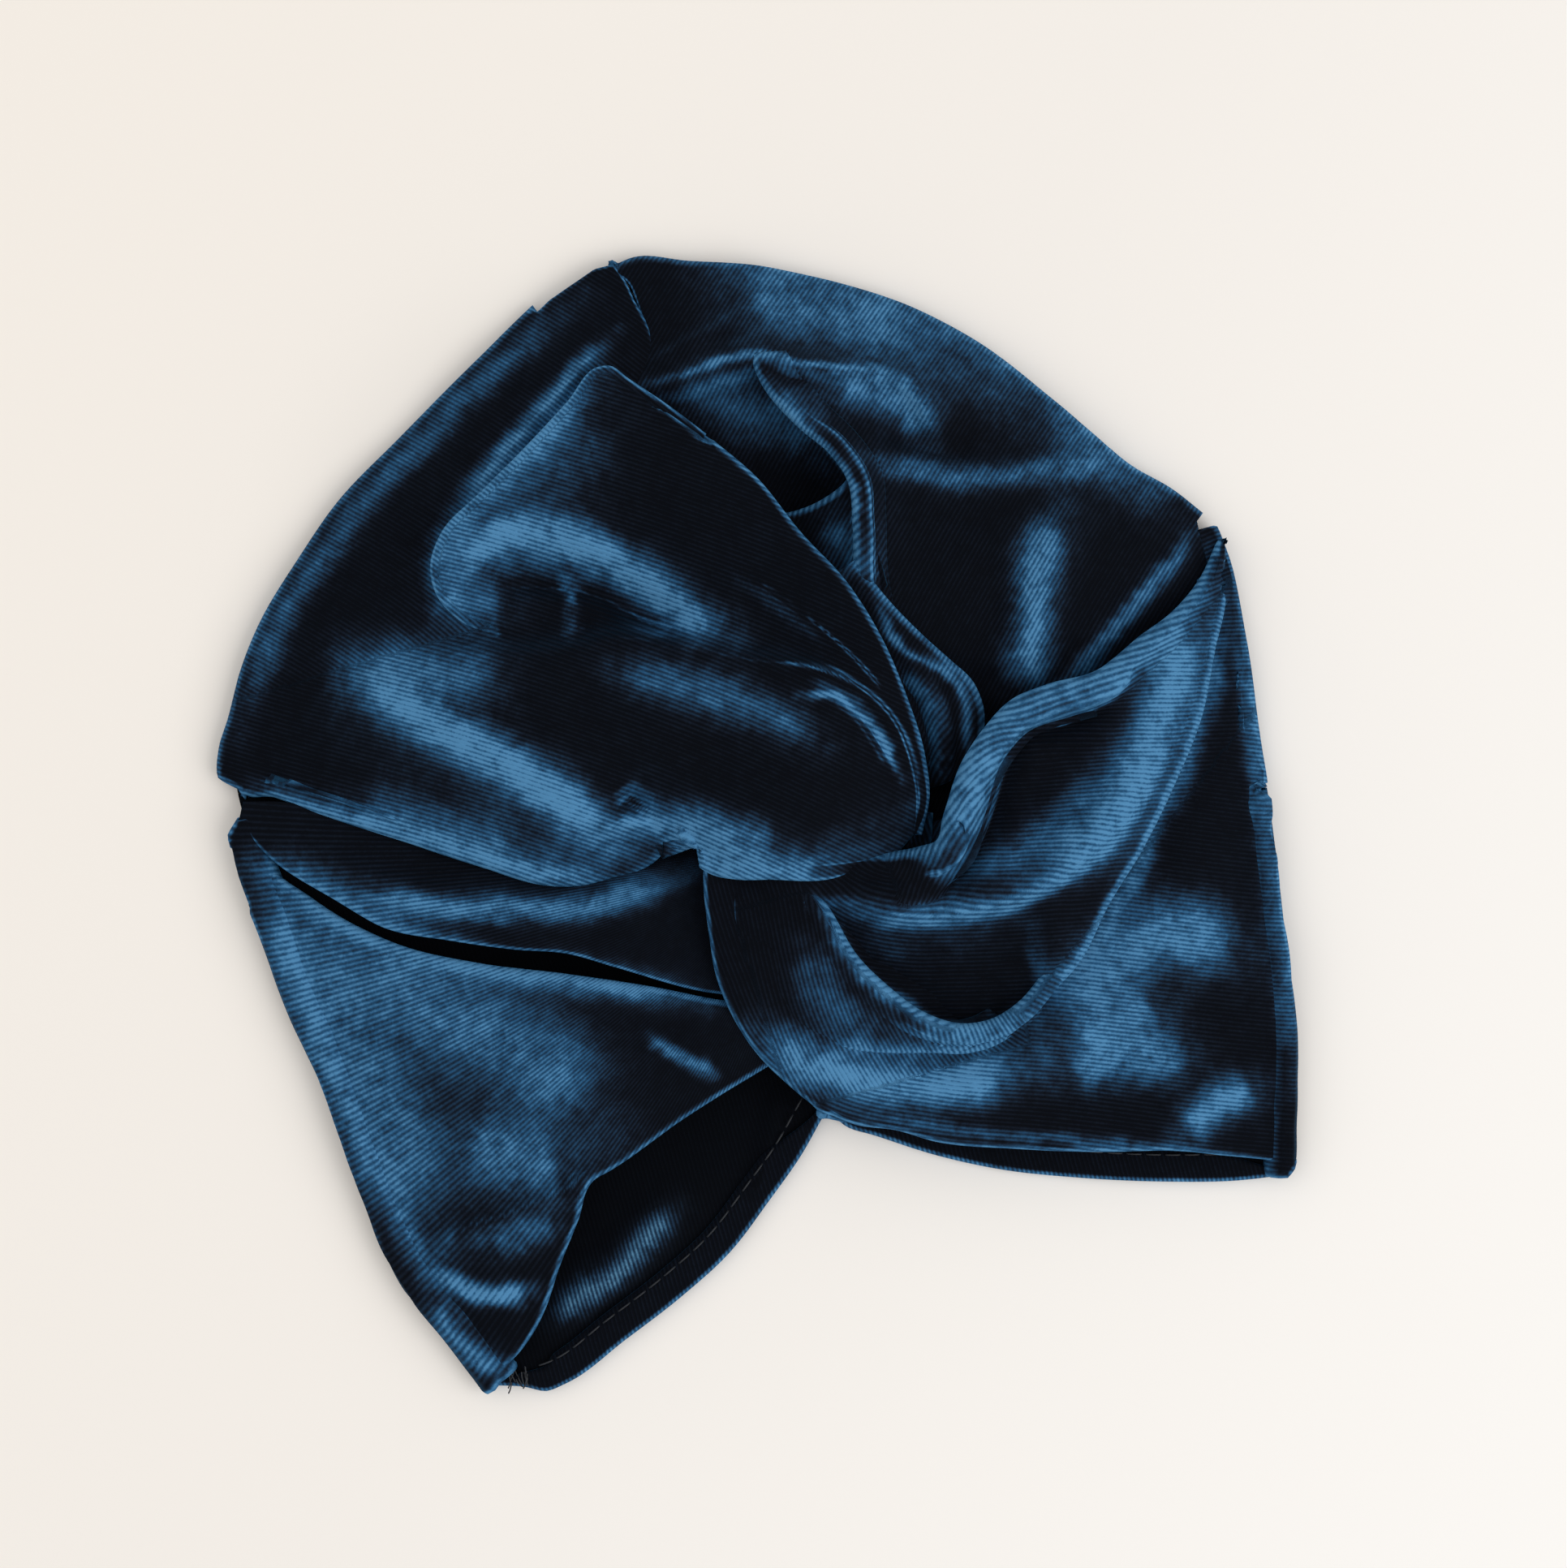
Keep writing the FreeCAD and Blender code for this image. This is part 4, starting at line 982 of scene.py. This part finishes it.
    def guide(x, y):
        in_tube = (beside(valley, x, y)[0] > 0) & (x > 24)
        in_pocket = (beside(fold, x, y)[0] > -1) & (y > -68)
        in_band = (y > -76) & (x < 44) & (x > -13) & (y < -28)
        phase = np.where(in_band, band_ribs(x, y), panel_ribs(x, y))
        phase = np.where(in_pocket, pocket_ribs(x, y), phase)
        return np.where(in_tube, tube_ribs(x, y), phase)

    panel[..., 1] = np.minimum(panel[..., 1], 27.4)
    lined("right_hem_wrap", ["right_hem_arm"], [panel, puff, sweep_edge], painted_highlights, guide, (0.2, 0.18), 0.028,
          ["right_hem_arm_lining"], [base[14:-2, 2:-3]], (0.16, 0.13), 0.0115)


right_hem_arm()


# ---- the turns inside the knot

def knot_turn(name, node_name, rows):
    """Cloth that passes out of sight through the knot, where one wrap hooks round the other."""
    table = np.stack([smooth_line(row, 40) for row in rows])
    grid = np.stack([smooth_line(table[:, index], 24) for index in range(table.shape[1])])
    cloth = Cloth(name).add(grid, [], along_ribs([(0, -60), (0, 0), (0, 40)]))
    declare(cloth.build(velvet, BACK_THICK), [node_name])


knot_turn("left_turn", "left_knot_turn", [
    [(31, -18, 21), (36, -18.5, 17), (30, -20, 11.5), (16, -23, 11), (0, -28, 11)],
    [(30, -22, 21), (34, -24, 17), (27, -27, 11.5), (13, -34, 11), (-2, -42, 11)],
    [(27, -26, 20), (30.5, -28.5, 17), (23, -33, 11.5), (10, -44, 11), (-3, -55, 11)],
])
knot_turn("right_turn", "right_knot_turn", [
    [(-14, -20, 18), (-13, -1, 18), (0, 8, 18), (19, 8, 18), (34, 2, 17)],
    [(3, -23, 18), (4, -12, 18), (9, -2, 18), (23, 0, 18), (38, -4, 17)],
    [(20, -27, 18), (18, -20, 18), (19, -12, 18), (29, -9, 18), (42, -9, 17)],
])


# ---- seams, stitches and loose ends

def rod_mesh(name, rods, finish, radius):
    """Short round threads, each along a list of points."""
    curve = bpy.data.curves.new(name, "CURVE")
    curve.dimensions = "3D"
    curve.bevel_depth = radius * MM
    curve.bevel_resolution = 3
    curve.use_fill_caps = True
    for rod in rods:
        spline = curve.splines.new("POLY")
        spline.points.add(len(rod) - 1)
        for point, place in zip(spline.points, rod):
            point.co = (place[0] * MM, place[1] * MM, place[2] * MM, 1.0)
    made = bpy.data.objects.new(name, curve)
    bpy.context.scene.collection.objects.link(made)
    curve.materials.append(finish)
    return made


def stitch_row(name, node_name, line, pitch=4.5, length=3.2):
    """A row of stitches along a line, each with its two ends dipped into the cloth."""
    path = smooth_line(line, 400)
    run = np.concatenate([[0.0], np.cumsum(np.linalg.norm(np.diff(path, axis=0), axis=1))])
    rods = []
    for start in np.arange(0.5, run[-1] - length, pitch):
        places = start + length * np.array([0.0, 0.12, 0.35, 0.65, 0.88, 1.0])
        rod = np.stack([np.interp(places, run, path[:, axis]) for axis in range(3)], axis=1)
        rod[:, 2] += np.array([-0.45, 0.0, 0.12, 0.12, 0.0, -0.45])
        rods.append(rod)
    made = rod_mesh(name, rods, thread, THREAD_RADIUS)
    declare(made, [node_name])


stitch_row("left_hem_stitches", "left_hem_thread",
           [(x, y, 4.2) for x, y in inset(LEFT_BACK_HEM[:-2], -6.5, 20)])
stitch_row("right_hem_stitches", "right_hem_thread",
           [(x, y, 4.2) for x, y in inset(RIGHT_BACK_HEM[:-1], 6.5, 20)])
stitch_row("back_seam_stitches", "back_seam_thread", [(-4, -68, 4.6), (-1, 30, 4.6), (1, 112, 4.6)])
stitch_row("crown_seam_stitches", "crown_seam_thread", [(1.8, 121, 4.8), (3.6, 114, 6.6), (4.6, 107, 7.4)])


def seam_allowance():
    """The felled allowance down the back seam, with a soft rounded section."""
    rows = []
    path = smooth_line([(-4.5, -71), (-2, 20), (1, 115)], 90)
    for x, y in path:
        across = np.linspace(-3.4, 3.4, 12)
        rows.append([(x + a, y, 3.4 + 0.9 * (1 - (a / 3.6)**4)) for a in across])
    cloth = Cloth("seam_allowance").add(np.array(rows), [], along_ribs([(0, -130), (0, 0), (0, 130)]))
    declare(cloth.build(inner_velvet, 0.8), ["back_seam_allowance"])


seam_allowance()


def corner_tuft(side, x, y, heading, spread):
    """Folded allowance with frayed threads at a bottom corner of the hem."""
    dice = np.random.default_rng(5 if side == "left" else 6)
    rods = []
    for _ in range(16):
        angle = math.radians(heading + dice.uniform(-spread, spread))
        foot = np.array([x + dice.uniform(-2.2, 2.2), y + dice.uniform(-1.5, 1.5),
                         3.8 + dice.uniform(0, 1.4)])
        length = dice.uniform(1.6, 3.4)
        bend = dice.uniform(-0.5, 0.5)
        rods.append([foot + np.array([math.cos(angle + bend * t), math.sin(angle + bend * t), -0.25 * t])
                     * length * t for t in (0, 0.35, 0.7, 1.0)])
    made = rod_mesh(f"{side}_frayed_corner", rods, thread, FRAY_RADIUS)
    declare(made, [f"{side}_corner_tuck"])


corner_tuft("left", -91, -118.5, -100, 28)
corner_tuft("right", 91, -119, -20, 20)


# ---- table, light and camera

def table_finish():
    """A matt off-white table, with painted shade: warmer towards the upper left, palest towards the lower
    right, where the window lamp stands.
    """
    made, tree = new_material("pale matt table")
    place = node(tree, "ShaderNodeTexCoord").outputs["Object"]
    across = node(tree, "ShaderNodeSeparateXYZ", Vector=place).outputs
    # Painted shade across the table, from warm at the upper left to palest at the lower right.
    eastward = node(tree, "ShaderNodeMath", MULTIPLY_ADD, _0=across[0], _1=1.2, _2=0.5)
    painted_table_shade = node(tree, "ShaderNodeMath", MULTIPLY_ADD, _0=across[1], _1=-1.2, _2=eastward)
    tone = node(tree, "ShaderNodeValToRGB", _0=painted_table_shade)
    fill(tone.color_ramp, [(0.0, "#FAF4EC"), (0.5, "#F7F3EE"), (1.0, "#FBFAF8")])
    skin = node(tree, "ShaderNodeBsdfPrincipled", Base_Color=tone, Roughness=0.9)
    skin.inputs["Specular IOR Level"].default_value = 0.1
    node(tree, "ShaderNodeOutputMaterial", Surface=skin.outputs[0])
    return made


bpy.ops.mesh.primitive_plane_add(size=6, location=(0, 0, -0.0001))
floor = bpy.context.object
floor.name = "table"
floor.data.materials.append(table_finish())

scene = bpy.context.scene
scene.view_settings.view_transform = "Standard"
world = bpy.data.worlds.new("soft room")
world.use_nodes = True
world.node_tree.nodes["Background"].inputs[0].default_value = (1.0, 0.985, 0.965, 1)
world.node_tree.nodes["Background"].inputs[1].default_value = 0.66
scene.world = world


def lamp(name, place, size, power, tint):
    """A square soft lamp that shines at the middle of the table."""
    light = bpy.data.lights.new(name, "AREA")
    light.shape = "SQUARE"
    light.size = size
    light.energy = power
    light.color = tint
    made = bpy.data.objects.new(name, light)
    scene.collection.objects.link(made)
    made.location = place
    made.rotation_mode = "QUATERNION"
    made.rotation_quaternion = (-made.location).to_track_quat("-Z", "Y")


lamp("window", (1.3, -0.9, 1.5), 1.8, 20, (1.0, 0.99, 0.98))
lamp("room", (-0.9, 0.7, 1.6), 1.8, 4.5, (1.0, 0.975, 0.955))

CAMERA_HEIGHT = 0.85
VIEW_WIDTH = 0.3669           # metres of table from side to side of the view
VIEW_TURN = -15.8             # degrees that the view is turned about the vertical
camera_data = bpy.data.cameras.new("camera")
camera_data.sensor_width = 36
camera_data.lens = 36 * CAMERA_HEIGHT / VIEW_WIDTH
camera = bpy.data.objects.new("camera", camera_data)
scene.collection.objects.link(camera)
camera.location = (0.0058, -0.0032, CAMERA_HEIGHT)
camera.rotation_euler = (0, 0, math.radians(VIEW_TURN))
scene.camera = camera
